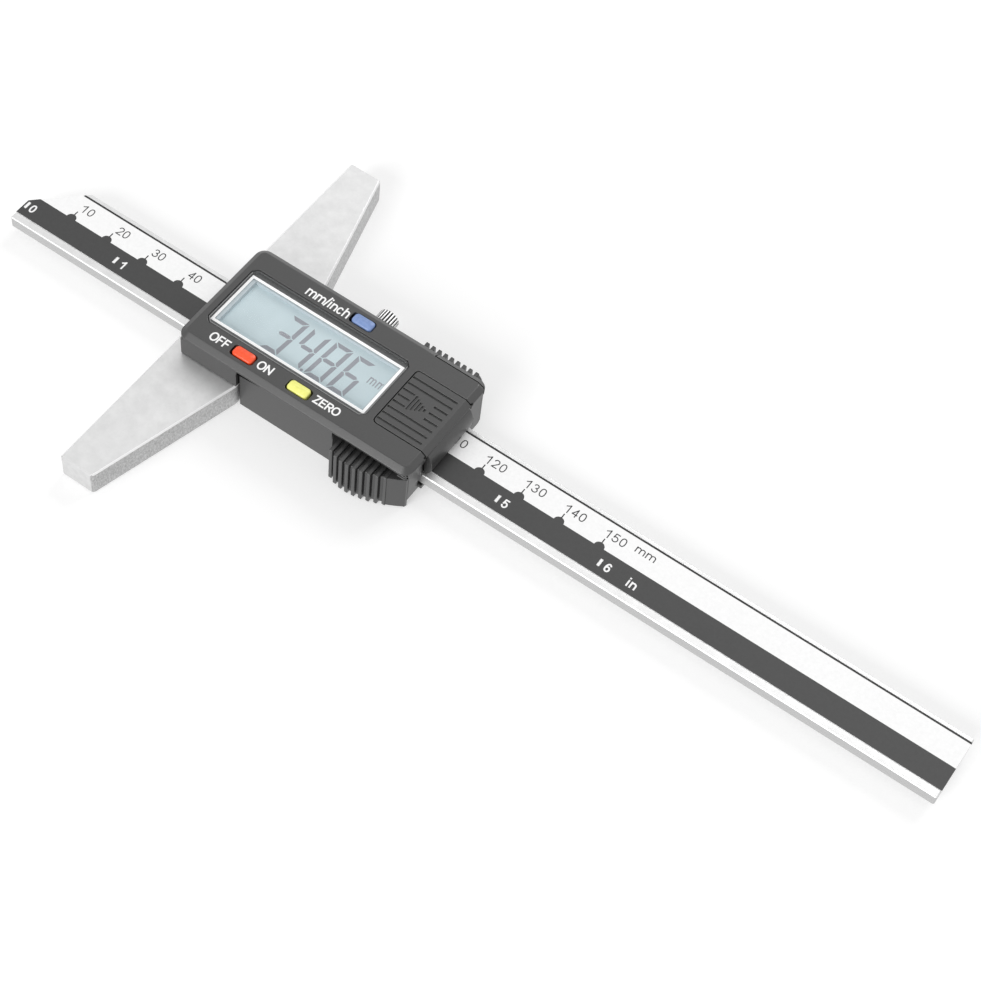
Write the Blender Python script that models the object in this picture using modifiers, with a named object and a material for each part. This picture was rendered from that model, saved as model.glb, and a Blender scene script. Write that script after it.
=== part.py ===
"""A digital depth gauge: a bar with a scale slides through a head that stands on a wide base.

The head reads how far the tip of the bar lies below the base's measuring face. The gauge lies flat,
with the bar along X and its tip towards -X, and the base across it along Y. The origin is on the rest
plane, under the middle of the bar. Distances "back" run from the measuring face towards +X.
"""

import math

import bmesh
import bpy
from mathutils import Matrix

MM = 0.001

# Fits
FIT = 0.3 * MM  # between moulded or pressed pieces that meet
SEAM = 0.2 * MM  # round a key or a cover, where the seam shows
RUNNING_GAP = 0.12 * MM  # between the bar and what guides it
LAMINA_GAP = 0.05 * MM  # between the bonded layers of the scale
OVERRUN = 1.0 * MM  # how far a cutter goes past what it cuts
THREAD_CLEARANCE = 0.12 * MM  # round a screw's shank

# Facets round a circle
SMALL_SIDES = 20
ROUND_SIDES = 40
CORNER_STEPS = 5

# Bar
BEAM_WIDTH = 16.0 * MM
BEAM_THICKNESS = 3.15 * MM
BEAM_BOTTOM = 2.07 * MM  # above the rest plane
BEAM_CORNER_LENGTH = 9.8 * MM  # of the cut corner at the tip, along the bar
BEAM_CORNER_DROP = 10.0 * MM  # and across it
BEAM_CHAMFER = 0.25 * MM
GROOVE_NEAR = 6.15 * MM  # from the bar's centre line to the near wall of the scale's groove
GROOVE_FAR = 6.95 * MM
GROOVE_DEPTH = 0.92 * MM
SCALE_BOARD_THICKNESS = 0.6 * MM
SCALE_LABEL_THICKNESS = 0.23 * MM
MEASURING_RANGE = 150.0 * MM
BEAM_TAIL_LENGTH = 23.4 * MM  # of the bar behind the middle of its stop screw
REST_DEPTH = 50.3 * MM  # of the tip beyond the measuring face, as it lies

# Stop screw under the bar
STOP_HEAD_RADIUS = 1.5 * MM
STOP_HEAD_HEIGHT = 0.7 * MM
STOP_SHANK_RADIUS = 0.8 * MM
STOP_SHANK_LENGTH = 1.5 * MM
STOP_SLOT_WIDTH = 0.4 * MM
STOP_SLOT_DEPTH = 0.3 * MM
STOP_PLAY = 0.4 * MM  # from the stop screw to the frame at full depth

# Base
BASE_HALF_LENGTH = 50.3 * MM
BASE_THICKNESS = 6.7 * MM
BASE_TIP_WIDTH = 8.3 * MM
BASE_MIDDLE_WIDTH = 17.6 * MM
BASE_CHAMFER = 0.4 * MM

# Upper casing
HEAD_TOP = 13.8 * MM
LID_BACK = 2.1 * MM  # from the measuring face to the lip
LID_LENGTH = 59.9 * MM
LIP_SIDE = 0.8 * MM  # of the lip beyond the side walls
LID_CORNER = 2.4 * MM
LID_HEIGHT = 2.4 * MM
LID_BEVEL_RUN = 1.4 * MM
LID_BEVEL_RISE = 1.05 * MM
LIP_HEIGHT = 1.6 * MM  # of the lip where it stands free beside the lower casing
LIP_OVERHANG = 1.0 * MM  # over the front wall
REAR_LIP = 0.6 * MM  # over the casing's end
FRONT_WALL = 1.5 * MM
CEILING = 11.7 * MM  # underside of the casing's top, above the rest plane
CAVITY_ROOM = 2.0 * MM  # beside the frame's far rail
SIDE_WALL = 1.1 * MM
NEAR_BLOCK_LENGTH = 14.7 * MM  # of the casing's side wall over the base
FAR_BLOCK_BACK = 5.2 * MM
FAR_BLOCK_LENGTH = 16.6 * MM
FAR_BLOCK_STAND = 0.45 * MM  # beyond the lip
BOSS_RADIUS = 1.5 * MM
BOSS_BORE = 1.0 * MM
FRONT_BOSS_INSET = 2.2 * MM  # from the front ledge's front edge
REAR_BOSS_FROM_END = 4.5 * MM  # from the casing's end, as all that follows named so
BOSS_INSET = 1.8 * MM  # of a boss's middle from the cavity's wall
END_WALL_FROM_END = 1.2 * MM
END_WALL = 0.8 * MM

# Window and display
LENS_BACK = 4.9 * MM
LENS_TO_COVER = 1.9 * MM
LENS_TO_KEY = 2.45 * MM  # from the window to a key's middle
LENS_CORNER = 1.2 * MM
LENS_THICKNESS = 0.9 * MM
LENS_SINK = 0.35 * MM  # below the casing's top
DISPLAY_OPENING_MARGIN = 1.8 * MM  # from the window's end to the opening under it
DISPLAY_OPENING_SIDE_MARGIN = 2.1 * MM
DISPLAY_MARGIN = 0.6 * MM  # of the glass beyond that opening
DISPLAY_THICKNESS = 1.7 * MM
CONDUCTOR_WIDTH = 1.6 * MM
CONDUCTOR_END = 1.5 * MM  # from the end of the glass

# Keys
KEY_LENGTH = 5.5 * MM
KEY_WIDTH = 2.45 * MM
KEY_CORNER = 0.5 * MM
KEY_STAND = 0.5 * MM  # above the casing's top
KEY_CROWN = 0.25 * MM
KEY_FLANGE_OUT = 0.7 * MM
KEY_FLANGE_SIDE = 0.2 * MM
KEY_FLANGE_THICKNESS = 0.6 * MM
KEY_TRAVEL = 0.5 * MM
KEY_SPARE = 0.15 * MM  # left between a pressed key and its dome
OFF_ON_BACK = 17.1 * MM
BOSS_TO_ZERO = 7.3 * MM  # from the front bosses to the zero key
BOSS_TO_UNIT = 7.35 * MM
NEAR_KEY_INSET = 3.65 * MM  # of a key's middle from the lip
FAR_KEY_INSET = 3.75 * MM
KEYPAD_THICKNESS = 0.7 * MM
KEYPAD_INSET = 4.1 * MM  # of the mat's inner edge from the cavity's wall
DOME_FOOT_RADIUS = 1.15 * MM
DOME_TOP_RADIUS = 0.8 * MM

# Covers
COVER_FROM_END = 13.3 * MM
COVER_HALF_WIDTH = 8.2 * MM
COVER_FLOOR = 12.1 * MM
COVER_CORNER = 1.0 * MM  # of its two front corners
COVER_GROOVE_PITCH = 1.83 * MM
COVER_GROOVES = 8
COVER_GROOVES_SIDE = -0.3 * MM  # of the middle of the grooves
COVER_GROOVE_WIDTH = 0.5 * MM
COVER_GROOVE_DEPTH = 0.4 * MM
COVER_GROOVE_START = 0.4 * MM  # from the cover's front edge
COVER_GROOVE_END = 1.6 * MM  # from the bar end of the lip to the end of the grooves
TONGUE_REACH = 0.6 * MM
TONGUE_THICKNESS = 0.4 * MM
TONGUE_FRONT = 0.8 * MM  # from the cover's front edge
NOSE_HALF_WIDTH = 7.5 * MM
NOSE_BULGE = 1.9 * MM
NOSE_TOP = 12.75 * MM
NOSE_CREST = 8.8 * MM
NOSE_BOTTOM = 5.6 * MM
ARROW_LENGTH = 4.0 * MM
ARROW_HALF_WIDTH = 2.1 * MM
ARROW_INSET = 3.8 * MM  # from the cover's front edge
ARROW_SIDE = 0.5 * MM
ARROW_RIDGES = 5
ARROW_RIDGE_SHARE = 0.5  # of the pitch between ridges
PORT_COVER_FROM_END = 12.5 * MM
PORT_COVER_WIDTH = 1.55 * MM
PORT_TONGUE_HEIGHT = 12.2 * MM

# Lower casing
REAR_SHELL_GAP = 0.5 * MM  # behind the base
REAR_SHELL_CORNER = 1.0 * MM
GRIP_CAVITY_INSET = 1.2 * MM  # of the cavity's wall between the grips
GRIP_WALL_INSET = 1.2 * MM  # of the outside above the grips, under the lip
LEDGE_THICKNESS = 1.2 * MM
FRONT_LEDGE_INSET = 4.0 * MM  # from the shell's front edge
FRONT_LEDGE_LENGTH = 4.2 * MM
FRONT_LEDGE_WIDTH = 3.3 * MM
REAR_LEDGE_FROM_END = 6.2 * MM
REAR_LEDGE_LENGTH = 5.5 * MM
REAR_LEDGE_WIDTH = 3.2 * MM
CROSS_BAR = 1.9 * MM  # of the floor behind the frame
BAR_EXIT_GAP = 0.4 * MM
END_RECESS_DEPTH = 0.7 * MM
END_RECESS_TOP = 5.0 * MM
END_RECESS_WIDTH = 5.0 * MM
END_SLOT_SIDE = 10.2 * MM
END_SLOT_BOTTOM = 2.5 * MM
END_SLOT_HEIGHT = 2.2 * MM
END_SLOT_WIDTH = 0.5 * MM

# Grips
GRIP_LEAD = 0.6 * MM  # of the near grip's start before the far grip's
GRIP_CREST = 6.9 * MM  # behind that start
GRIP_END_INSET = 0.1 * MM
NEAR_GRIP_REACH = 4.5 * MM  # of the crest beyond the wall
FALL_POWER_SHARE = 1.8  # how late a grip's outline falls away towards its end
FAR_GRIP_REACH = 3.4 * MM
FIRST_RIB = 2.6 * MM  # behind the near grip's start
RIB_PITCH = 1.6 * MM
LAST_RIB_ROOM = 3.0 * MM  # at least this from the last rib to the near grip's end
RIB_THICKNESS = 0.85 * MM
RIB_DEPTH = 0.8 * MM
RIB_TOP = 10.5 * MM
GRIP_LIFT = 0.3 * MM  # of the grips above the rest plane
GRIP_OUTLINE_STEPS = 8

# Frame that guides the bar
FRAME_BACK = 8.3 * MM
FRAME_CORNER = 1.0 * MM
FRAME_LIFT = 0.3 * MM
FRAME_THICKNESS = 1.6 * MM
LEDGE_TO_RAIL = 0.5 * MM
RAIL_END_INSET = 4.4 * MM  # from the frame's end
RAIL_THICKNESS = 1.9 * MM
RAIL_TOP = 5.25 * MM
GIB_THICKNESS = 0.7 * MM
GIB_HEIGHT = 2.8 * MM
GIB_BACK_GAP = 0.18 * MM
GIB_END_GAP = 0.3 * MM
GIB_SCREW_RADIUS = 0.8 * MM
GIB_SCREW_LENGTH = 1.6 * MM
GIB_SCREW_INSETS = (9.5 * MM, 4.5 * MM)  # from the rail's front end and from its rear end

# Lock
LOCK_INSET = 4.6 * MM  # from the rail's front end
LOCK_TO_GRIP = 11.2 * MM
LOCK_HEIGHT = 3.65 * MM
LOCK_HEAD_RADIUS = 2.5 * MM
LOCK_HEAD_STAND = 0.7 * MM  # of the head's foot beyond the lip
LOCK_HEAD_LENGTH = 6.85 * MM
LOCK_HEAD_CHAMFER = 0.4 * MM
LOCK_SHANK_RADIUS = 1.5 * MM
LOCK_SHANK_START = 10.1 * MM
LOCK_FLUTES = 20
LOCK_FLUTE_DEPTH = 0.22 * MM
PAD_RADIUS = 1.1 * MM
PAD_PLAY = 0.3 * MM  # from the bar's edge to the pad, with the lock undone

# Screws
BASE_SCREW_BACK = 12.8 * MM
BASE_SCREW_INSET = 2.2 * MM  # from the frame's edge
SCREW_HEAD_RADIUS = 1.6 * MM
SCREW_HEAD_HEIGHT = 1.0 * MM
SCREW_SHANK_RADIUS = 0.8 * MM
BASE_SCREW_REACH = 2.6 * MM  # into the base
SHELL_SCREW_REACH = 5.0 * MM  # into a boss
SCREW_SLOT_WIDTH = 0.4 * MM
SCREW_SLOT_DEPTH = 0.4 * MM
BOARD_SCREW_HEAD_RADIUS = 1.2 * MM
BOARD_SCREW_HEAD_HEIGHT = 0.7 * MM
BOARD_SCREW_SHANK_RADIUS = 0.6 * MM
BOARD_SCREW_REACH = 2.0 * MM

# Circuit
BOARD_BOTTOM = 5.52 * MM
BOARD_THICKNESS = 1.0 * MM
BOARD_BACK = 5.1 * MM
BOARD_END_GAP = 0.5 * MM  # to the end wall
BOARD_NOTCH_GAP = 0.3 * MM
PART_SEAT = 0.08 * MM  # from the board to a part soldered or pressed on it
CHIP_BACK = 18.0 * MM
CHIP_LENGTH = 8.0 * MM
CHIP_WIDTH = 7.0 * MM
CHIP_HEIGHT = 1.3 * MM
CRYSTAL_GAP = 2.0 * MM  # behind the chip
CRYSTAL_LENGTH = 6.0 * MM
CRYSTAL_RADIUS = 1.0 * MM

# Battery
BATTERY_RADIUS = 5.8 * MM
BATTERY_HEIGHT = 5.3 * MM
BATTERY_RIM = 0.5 * MM
BATTERY_FROM_END = 7.5 * MM
POCKET_GAP = 0.4 * MM
POCKET_WALL = 0.8 * MM
CONTACT_THICKNESS = 0.15 * MM
CONTACT_WIDTH = 2.0 * MM
PLUS_CONTACT_HEIGHT = 4.2 * MM
MINUS_CONTACT_RADIUS = 3.0 * MM

# Places that follow from the sizes above
LID_END_BACK = LID_BACK + LID_LENGTH
CASING_END_BACK = LID_END_BACK - REAR_LIP
END_WALL_BACK = CASING_END_BACK - END_WALL_FROM_END
REAR_BOSS_BACK = CASING_END_BACK - REAR_BOSS_FROM_END
REAR_LEDGE_BACK = CASING_END_BACK - REAR_LEDGE_FROM_END
COVER_BACK = CASING_END_BACK - COVER_FROM_END
PORT_COVER_BACK = CASING_END_BACK - PORT_COVER_FROM_END
ARROW_BACK = COVER_BACK + ARROW_INSET
LENS_LENGTH = COVER_BACK - LENS_TO_COVER - LENS_BACK
REAR_SHELL_BACK = BASE_MIDDLE_WIDTH + REAR_SHELL_GAP
FRONT_LEDGE_BACK = REAR_SHELL_BACK + FRONT_LEDGE_INSET
FRONT_BOSS_BACK = FRONT_LEDGE_BACK + FRONT_BOSS_INSET
ZERO_BACK = FRONT_BOSS_BACK + BOSS_TO_ZERO
UNIT_BACK = FRONT_BOSS_BACK + BOSS_TO_UNIT
FRONT_LEDGE_END_BACK = FRONT_LEDGE_BACK + FRONT_LEDGE_LENGTH
RAIL_BACK = FRONT_LEDGE_END_BACK + LEDGE_TO_RAIL
LOCK_BACK = RAIL_BACK + LOCK_INSET
FAR_GRIP_BACK = LOCK_BACK + LOCK_TO_GRIP
GRIP_BACK = FAR_GRIP_BACK - GRIP_LEAD
GRIP_CREST_BACK = GRIP_BACK + GRIP_CREST
GRIP_END_BACK = CASING_END_BACK - GRIP_END_INSET
FIRST_RIB_BACK = GRIP_BACK + FIRST_RIB
RIBS = 1 + int((GRIP_END_BACK - LAST_RIB_ROOM - FIRST_RIB_BACK) / RIB_PITCH)
BATTERY_BACK = CASING_END_BACK - BATTERY_FROM_END
BOARD_LENGTH = END_WALL_BACK - BOARD_END_GAP - BOARD_BACK
CRYSTAL_BACK = CHIP_BACK + CHIP_LENGTH + CRYSTAL_GAP
FRAME_END_BACK = CASING_END_BACK - CROSS_BAR - FIT
RAIL_LENGTH = FRAME_END_BACK - RAIL_END_INSET - RAIL_BACK
GIB_SCREW_BACKS = (
    RAIL_BACK + GIB_SCREW_INSETS[0],
    RAIL_BACK + RAIL_LENGTH - GIB_SCREW_INSETS[1],
)
BOARD_SCREW_BACK = sum(GIB_SCREW_BACKS) / 2
STOP_SCREW_REACH = FRAME_END_BACK + STOP_PLAY + STOP_HEAD_RADIUS + MEASURING_RANGE
BEAM_LENGTH = STOP_SCREW_REACH + BEAM_TAIL_LENGTH
BEAM_TIP = -BEAM_LENGTH / 2
BEAM_TAIL = BEAM_LENGTH / 2
BEAM_EDGE = BEAM_WIDTH / 2
BEAM_TOP = BEAM_BOTTOM + BEAM_THICKNESS
GROOVE_FLOOR = BEAM_TOP - GROOVE_DEPTH
STOP_SCREW_BOTTOM = BEAM_BOTTOM - LAMINA_GAP - STOP_HEAD_HEIGHT
FACE = BEAM_TIP + REST_DEPTH
LID_BOTTOM = HEAD_TOP - LID_HEIGHT
FRONT_WALL_BACK = LID_BACK + LIP_OVERHANG
CAVITY_BACK = FRONT_WALL_BACK + FRONT_WALL
NEAR_BLOCK_END_BACK = FRONT_WALL_BACK + NEAR_BLOCK_LENGTH
FAR_BLOCK_END_BACK = FAR_BLOCK_BACK + FAR_BLOCK_LENGTH
FRAME_TOP = FRAME_LIFT + FRAME_THICKNESS
GUIDE_EDGE = BEAM_EDGE + RUNNING_GAP
GIB_OUTSIDE = GUIDE_EDGE + GIB_THICKNESS
FAR_RAIL_SIDE = GIB_OUTSIDE + GIB_BACK_GAP
CAVITY_HALF_WIDTH = FAR_RAIL_SIDE + RAIL_THICKNESS + CAVITY_ROOM
REAR_SHELL_HALF_WIDTH = CAVITY_HALF_WIDTH + SIDE_WALL
LID_HALF_WIDTH = REAR_SHELL_HALF_WIDTH + LIP_SIDE
BASE_MIDDLE_HALF_LENGTH = LID_HALF_WIDTH
FAR_BLOCK_HALF_WIDTH = LID_HALF_WIDTH + FAR_BLOCK_STAND
GRIP_CAVITY_HALF_WIDTH = CAVITY_HALF_WIDTH - GRIP_CAVITY_INSET
GRIP_WALL_HALF_WIDTH = REAR_SHELL_HALF_WIDTH - GRIP_WALL_INSET
FRONT_BOSS_SIDE = CAVITY_HALF_WIDTH - BOSS_INSET
REAR_BOSS_SIDE = GRIP_CAVITY_HALF_WIDTH - BOSS_INSET
FRONT_LEDGE_SIDE = CAVITY_HALF_WIDTH - FRONT_LEDGE_WIDTH
REAR_LEDGE_SIDE = GRIP_CAVITY_HALF_WIDTH - REAR_LEDGE_WIDTH
FRAME_HALF_WIDTH = CAVITY_HALF_WIDTH - FIT
BASE_SCREW_SIDE = FRAME_HALF_WIDTH - BASE_SCREW_INSET
NEAR_KEY_SIDE = LID_HALF_WIDTH - NEAR_KEY_INSET
FAR_KEY_SIDE = LID_HALF_WIDTH - FAR_KEY_INSET
KEYPAD_INSIDE = CAVITY_HALF_WIDTH - KEYPAD_INSET
LENS_HALF_WIDTH = NEAR_KEY_SIDE - LENS_TO_KEY
DISPLAY_OPENING_HALF_WIDTH = LENS_HALF_WIDTH - DISPLAY_OPENING_SIDE_MARGIN
PORT_COVER_SIDE = LID_HALF_WIDTH - PORT_COVER_WIDTH
LOCK_HEAD_START = LID_HALF_WIDTH + LOCK_HEAD_STAND
LEDGE_BOTTOM = FRAME_TOP + FIT
LEDGE_TOP = LEDGE_BOTTOM + LEDGE_THICKNESS
REAR_SHELL_TOP = LID_BOTTOM - FIT
BOARD_TOP = BOARD_BOTTOM + BOARD_THICKNESS
DISPLAY_TOP = CEILING - SEAM
DISPLAY_BOTTOM = DISPLAY_TOP - DISPLAY_THICKNESS
LENS_TOP = HEAD_TOP - LENS_SINK
LENS_LEDGE = LENS_TOP - LENS_THICKNESS - LAMINA_GAP
KEY_FLANGE_TOP = CEILING - FIT
KEY_BOTTOM = KEY_FLANGE_TOP - KEY_FLANGE_THICKNESS
POCKET_RADIUS = BATTERY_RADIUS + POCKET_GAP
BATTERY_BOTTOM = BOARD_TOP + 2 * PART_SEAT + CONTACT_THICKNESS
COVER_BOTTOM = COVER_FLOOR + FIT
BASE_SCREW_HOLE_TOP = FRAME_TOP + BASE_SCREW_REACH + FIT
NOSE_INSIDE_BACK = END_WALL_BACK + END_WALL + FIT


# The scene and its two collections
def clear_scene():
    for old in list(bpy.data.objects):
        bpy.data.objects.remove(old, do_unlink=True)


def new_collection(name):
    collection = bpy.data.collections.new(name)
    bpy.context.scene.collection.children.link(collection)
    return collection


clear_scene()
PARTS = new_collection("depth_gauge")
CUTTERS = new_collection("cutters")


# Materials
def linear(level):
    level = level / 255
    return level / 12.92 if level <= 0.04045 else ((level + 0.055) / 1.055) ** 2.4


def material(name, rgb, roughness, metallic=0.0):
    made = bpy.data.materials.new(name)
    made.use_nodes = True
    shader = made.node_tree.nodes["Principled BSDF"]
    shader.inputs["Base Color"].default_value = (*[linear(level) for level in rgb], 1.0)
    shader.inputs["Roughness"].default_value = roughness
    shader.inputs["Metallic"].default_value = metallic
    return made


HARDENED_STEEL = material("hardened_steel", (205, 206, 208), 0.28, 1.0)
BRUSHED_STEEL = material("brushed_steel", (212, 213, 215), 0.32, 1.0)
FRAME_STEEL = material("frame_steel", (180, 181, 184), 0.4, 1.0)
SCREW_STEEL = material("screw_steel", (170, 171, 174), 0.35, 1.0)
SPRING_STEEL = material("spring_steel", (200, 200, 202), 0.3, 1.0)
BRASS = material("brass", (200, 165, 90), 0.35, 1.0)
CASING_PLASTIC = material("casing_plastic", (88, 88, 88), 0.55)
BOARD_LAMINATE = material("board_laminate", (60, 96, 58), 0.5)
LABEL_FILM = material("label_film", (85, 85, 85), 0.4)
DISPLAY_GLASS = material("display_glass", (192, 205, 212), 0.2)
CLEAR_ACRYLIC = material("clear_acrylic", (235, 238, 240), 0.05)
KEY_RED = material("key_red", (255, 90, 53), 0.45)
KEY_YELLOW = material("key_yellow", (250, 250, 140), 0.45)
KEY_BLUE = material("key_blue", (122, 147, 200), 0.45)
SILICONE = material("silicone", (70, 72, 74), 0.8)
CONDUCTIVE_RUBBER = material("conductive_rubber", (48, 48, 50), 0.8)
CHIP_RESIN = material("chip_resin", (26, 26, 28), 0.6)
BATTERY_STEEL = material("battery_steel", (205, 206, 208), 0.25, 1.0)


# Making objects
def back(distance):
    """The x of a place that lies this far behind the measuring face."""
    return FACE + distance


def add(name, mesh, finish=None):
    """A part when it has a finish, and otherwise a cutter, which isn't rendered."""
    made = bpy.data.objects.new(name, mesh)
    if finish:
        mesh.materials.append(finish)
        PARTS.objects.link(made)
    else:
        made.hide_render = True
        made.display_type = "WIRE"
        CUTTERS.objects.link(made)
    return made


def box(name, low, high, finish=None):
    """A cuboid between two corners, with its origin in its middle."""
    shape = bmesh.new()
    bmesh.ops.create_cube(shape, size=1.0)
    size = [b - a for a, b in zip(low, high)]
    bmesh.ops.scale(shape, vec=size, verts=shape.verts)
    mesh = bpy.data.meshes.new(name)
    shape.to_mesh(mesh)
    shape.free()
    made = add(name, mesh, finish)
    made.location = [(a + b) / 2 for a, b in zip(low, high)]
    return made


# Turns that lay an object's own Z along the named axis
LAID = {
    "Z": (0, 0, 0),
    "-Z": (math.pi, 0, 0),
    "Y": (-math.pi / 2, 0, 0),
    "-Y": (math.pi / 2, 0, 0),
    "X": (0, math.pi / 2, 0),
}


def cylinder(name, radius, foot, length, axis="Z", finish=None, top_radius=None, sides=SMALL_SIDES):
    """A cylinder or cone that rises from its foot along the axis, with its origin at the foot."""
    shape = bmesh.new()
    bmesh.ops.create_cone(
        shape,
        cap_ends=True,
        segments=sides,
        radius1=radius,
        radius2=radius if top_radius is None else top_radius,
        depth=length,
        matrix=Matrix.Translation((0, 0, length / 2)),
    )
    mesh = bpy.data.meshes.new(name)
    shape.to_mesh(mesh)
    shape.free()
    shade_round(mesh)
    made = add(name, mesh, finish)
    made.location = foot
    made.rotation_euler = LAID[axis]
    return made


def shade_round(mesh):
    mesh.shade_smooth()
    mesh.set_sharp_from_angle(angle=math.radians(35))


def turned(name, profile, foot, axis, finish, sides=SMALL_SIDES):
    """A turned piece: its profile runs down its outer side, from the axis at the top to the axis at the foot."""
    mesh = bpy.data.meshes.new(name)
    points = [(radius, 0, height) for radius, height in profile]
    mesh.from_pydata(points, [(i, i + 1) for i in range(len(points) - 1)], [])
    made = add(name, mesh, finish)
    made.location = foot
    made.rotation_euler = LAID[axis]
    spin = made.modifiers.new("spin", "SCREW")
    spin.angle = math.tau
    spin.steps = spin.render_steps = sides
    spin.use_merge_vertices = True
    spin.merge_threshold = 0.001 * MM
    spin.use_smooth_shade = False
    return made


# Where a flat outline's own axes point when it is extruded along the named axis
SET_UP = {
    "Z": Matrix.Identity(3),
    "Y": Matrix(((1, 0, 0), (0, 0, -1), (0, 1, 0))),
    "X": Matrix(((0, 0, 1), (1, 0, 0), (0, 1, 0))),
}


def prism(name, outline, low, high, axis="Z", finish=None):
    """A flat outline, in the two axes that the named one leaves, extruded from low to high."""
    flat = bpy.data.curves.new(name, "CURVE")
    flat.dimensions = "2D"
    flat.fill_mode = "BOTH"
    flat.extrude = (high - low) / 2
    spline = flat.splines.new("POLY")
    spline.points.add(len(outline) - 1)
    for point, (u, v) in zip(spline.points, outline):
        point.co = (u, v, 0, 1)
    spline.use_cyclic_u = True
    guide = bpy.data.objects.new(name, flat)
    CUTTERS.objects.link(guide)
    turn = SET_UP[axis].to_4x4()
    middle = [(low + high) / 2 if letter == axis else 0 for letter in "XYZ"]
    guide.matrix_world = Matrix.Translation(middle) @ turn
    evaluated = guide.evaluated_get(bpy.context.evaluated_depsgraph_get())
    mesh = bpy.data.meshes.new_from_object(evaluated)
    mesh.name = name
    placed = guide.matrix_world.copy()
    bpy.data.objects.remove(guide, do_unlink=True)
    shape = bmesh.new()
    shape.from_mesh(mesh)
    bmesh.ops.remove_doubles(shape, verts=shape.verts, dist=0.001 * MM)
    bmesh.ops.dissolve_limit(shape, angle_limit=math.radians(1), verts=shape.verts, edges=shape.edges)
    bmesh.ops.recalc_face_normals(shape, faces=shape.faces)
    shape.to_mesh(mesh)
    shape.free()
    made = add(name, mesh, finish)
    made.matrix_world = placed
    return made


def arc(middle, radius, start, end, steps=CORNER_STEPS):
    """Points of a round corner, or of a quarter ellipse where the radius is a pair. Angles are quarter turns."""
    reach_u, reach_v = radius if isinstance(radius, tuple) else (radius, radius)
    points = []
    for step in range(steps + 1):
        angle = math.pi / 2 * (start + (end - start) * step / steps)
        points.append((middle[0] + reach_u * math.cos(angle), middle[1] + reach_v * math.sin(angle)))
    return points


def rounded(low, high, radius, steps=CORNER_STEPS):
    """A rectangle with round corners, counterclockwise."""
    (u0, v0), (u1, v1) = low, high
    return (
        arc((u1 - radius, v1 - radius), radius, 0, 1, steps)
        + arc((u0 + radius, v1 - radius), radius, 1, 2, steps)
        + arc((u0 + radius, v0 + radius), radius, 2, 3, steps)
        + arc((u1 - radius, v0 + radius), radius, 3, 4, steps)
    )


def clipped(low, high, corner):
    """A rectangle with its corners cut straight across, counterclockwise."""
    return rounded(low, high, corner, 1)


def chamfer(target, width, segments=1):
    modifier = target.modifiers.new("edges", "BEVEL")
    modifier.width = width
    modifier.segments = segments
    modifier.limit_method = "ANGLE"
    modifier.angle_limit = math.radians(35)


def combine(target, operation, others):
    for other in others:
        modifier = target.modifiers.new(other.name, "BOOLEAN")
        modifier.operation = operation
        modifier.object = other
    return target


def cut(target, *cutters):
    return combine(target, "DIFFERENCE", cutters)


def join(target, *additions):
    return combine(target, "UNION", additions)


def keep_inside(target, *limits):
    return combine(target, "INTERSECT", limits)


def both_sides(distance):
    """The two y places that lie this far from the centre line, near one first."""
    return (-distance, distance)


# The bar and what is bonded or screwed to it
def bar_outline(near, far):
    """Plan of the bar between two distances from its centre line, less its cut corner."""
    cut_start = BEAM_EDGE - BEAM_CORNER_DROP
    cut_end = BEAM_TIP + BEAM_CORNER_LENGTH * (far - cut_start) / BEAM_CORNER_DROP
    return [(BEAM_TIP, near), (BEAM_TAIL, near), (BEAM_TAIL, far), (cut_end, far), (BEAM_TIP, cut_start)]


def stop_screw_x():
    """Its head meets the frame's end when the bar is at full depth."""
    return BEAM_TIP + STOP_SCREW_REACH


def make_beam():
    beam = prism("beam", bar_outline(-BEAM_EDGE, BEAM_EDGE), BEAM_BOTTOM, BEAM_TOP, "Z", BRUSHED_STEEL)
    chamfer(beam, BEAM_CHAMFER)
    groove = box(
        "beam_groove",
        (BEAM_TIP - OVERRUN, -GROOVE_NEAR, GROOVE_FLOOR),
        (BEAM_TAIL + OVERRUN, GROOVE_FAR, BEAM_TOP + OVERRUN),
    )
    hole = cylinder(
        "stop_screw_hole",
        STOP_SHANK_RADIUS + THREAD_CLEARANCE,
        (stop_screw_x(), 0, BEAM_BOTTOM - OVERRUN),
        OVERRUN + STOP_SHANK_LENGTH + THREAD_CLEARANCE,
    )
    return cut(beam, groove, hole)


def make_scale():
    near = LAMINA_GAP - GROOVE_NEAR
    far = GROOVE_FAR - LAMINA_GAP
    board_bottom = GROOVE_FLOOR + LAMINA_GAP
    board_top = board_bottom + SCALE_BOARD_THICKNESS
    label_bottom = board_top + LAMINA_GAP
    label_top = label_bottom + SCALE_LABEL_THICKNESS
    outline = bar_outline(near, far)
    prism("scale_board", outline, board_bottom, board_top, "Z", BOARD_LAMINATE)
    prism("scale_label", outline, label_bottom, label_top, "Z", LABEL_FILM)


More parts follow.
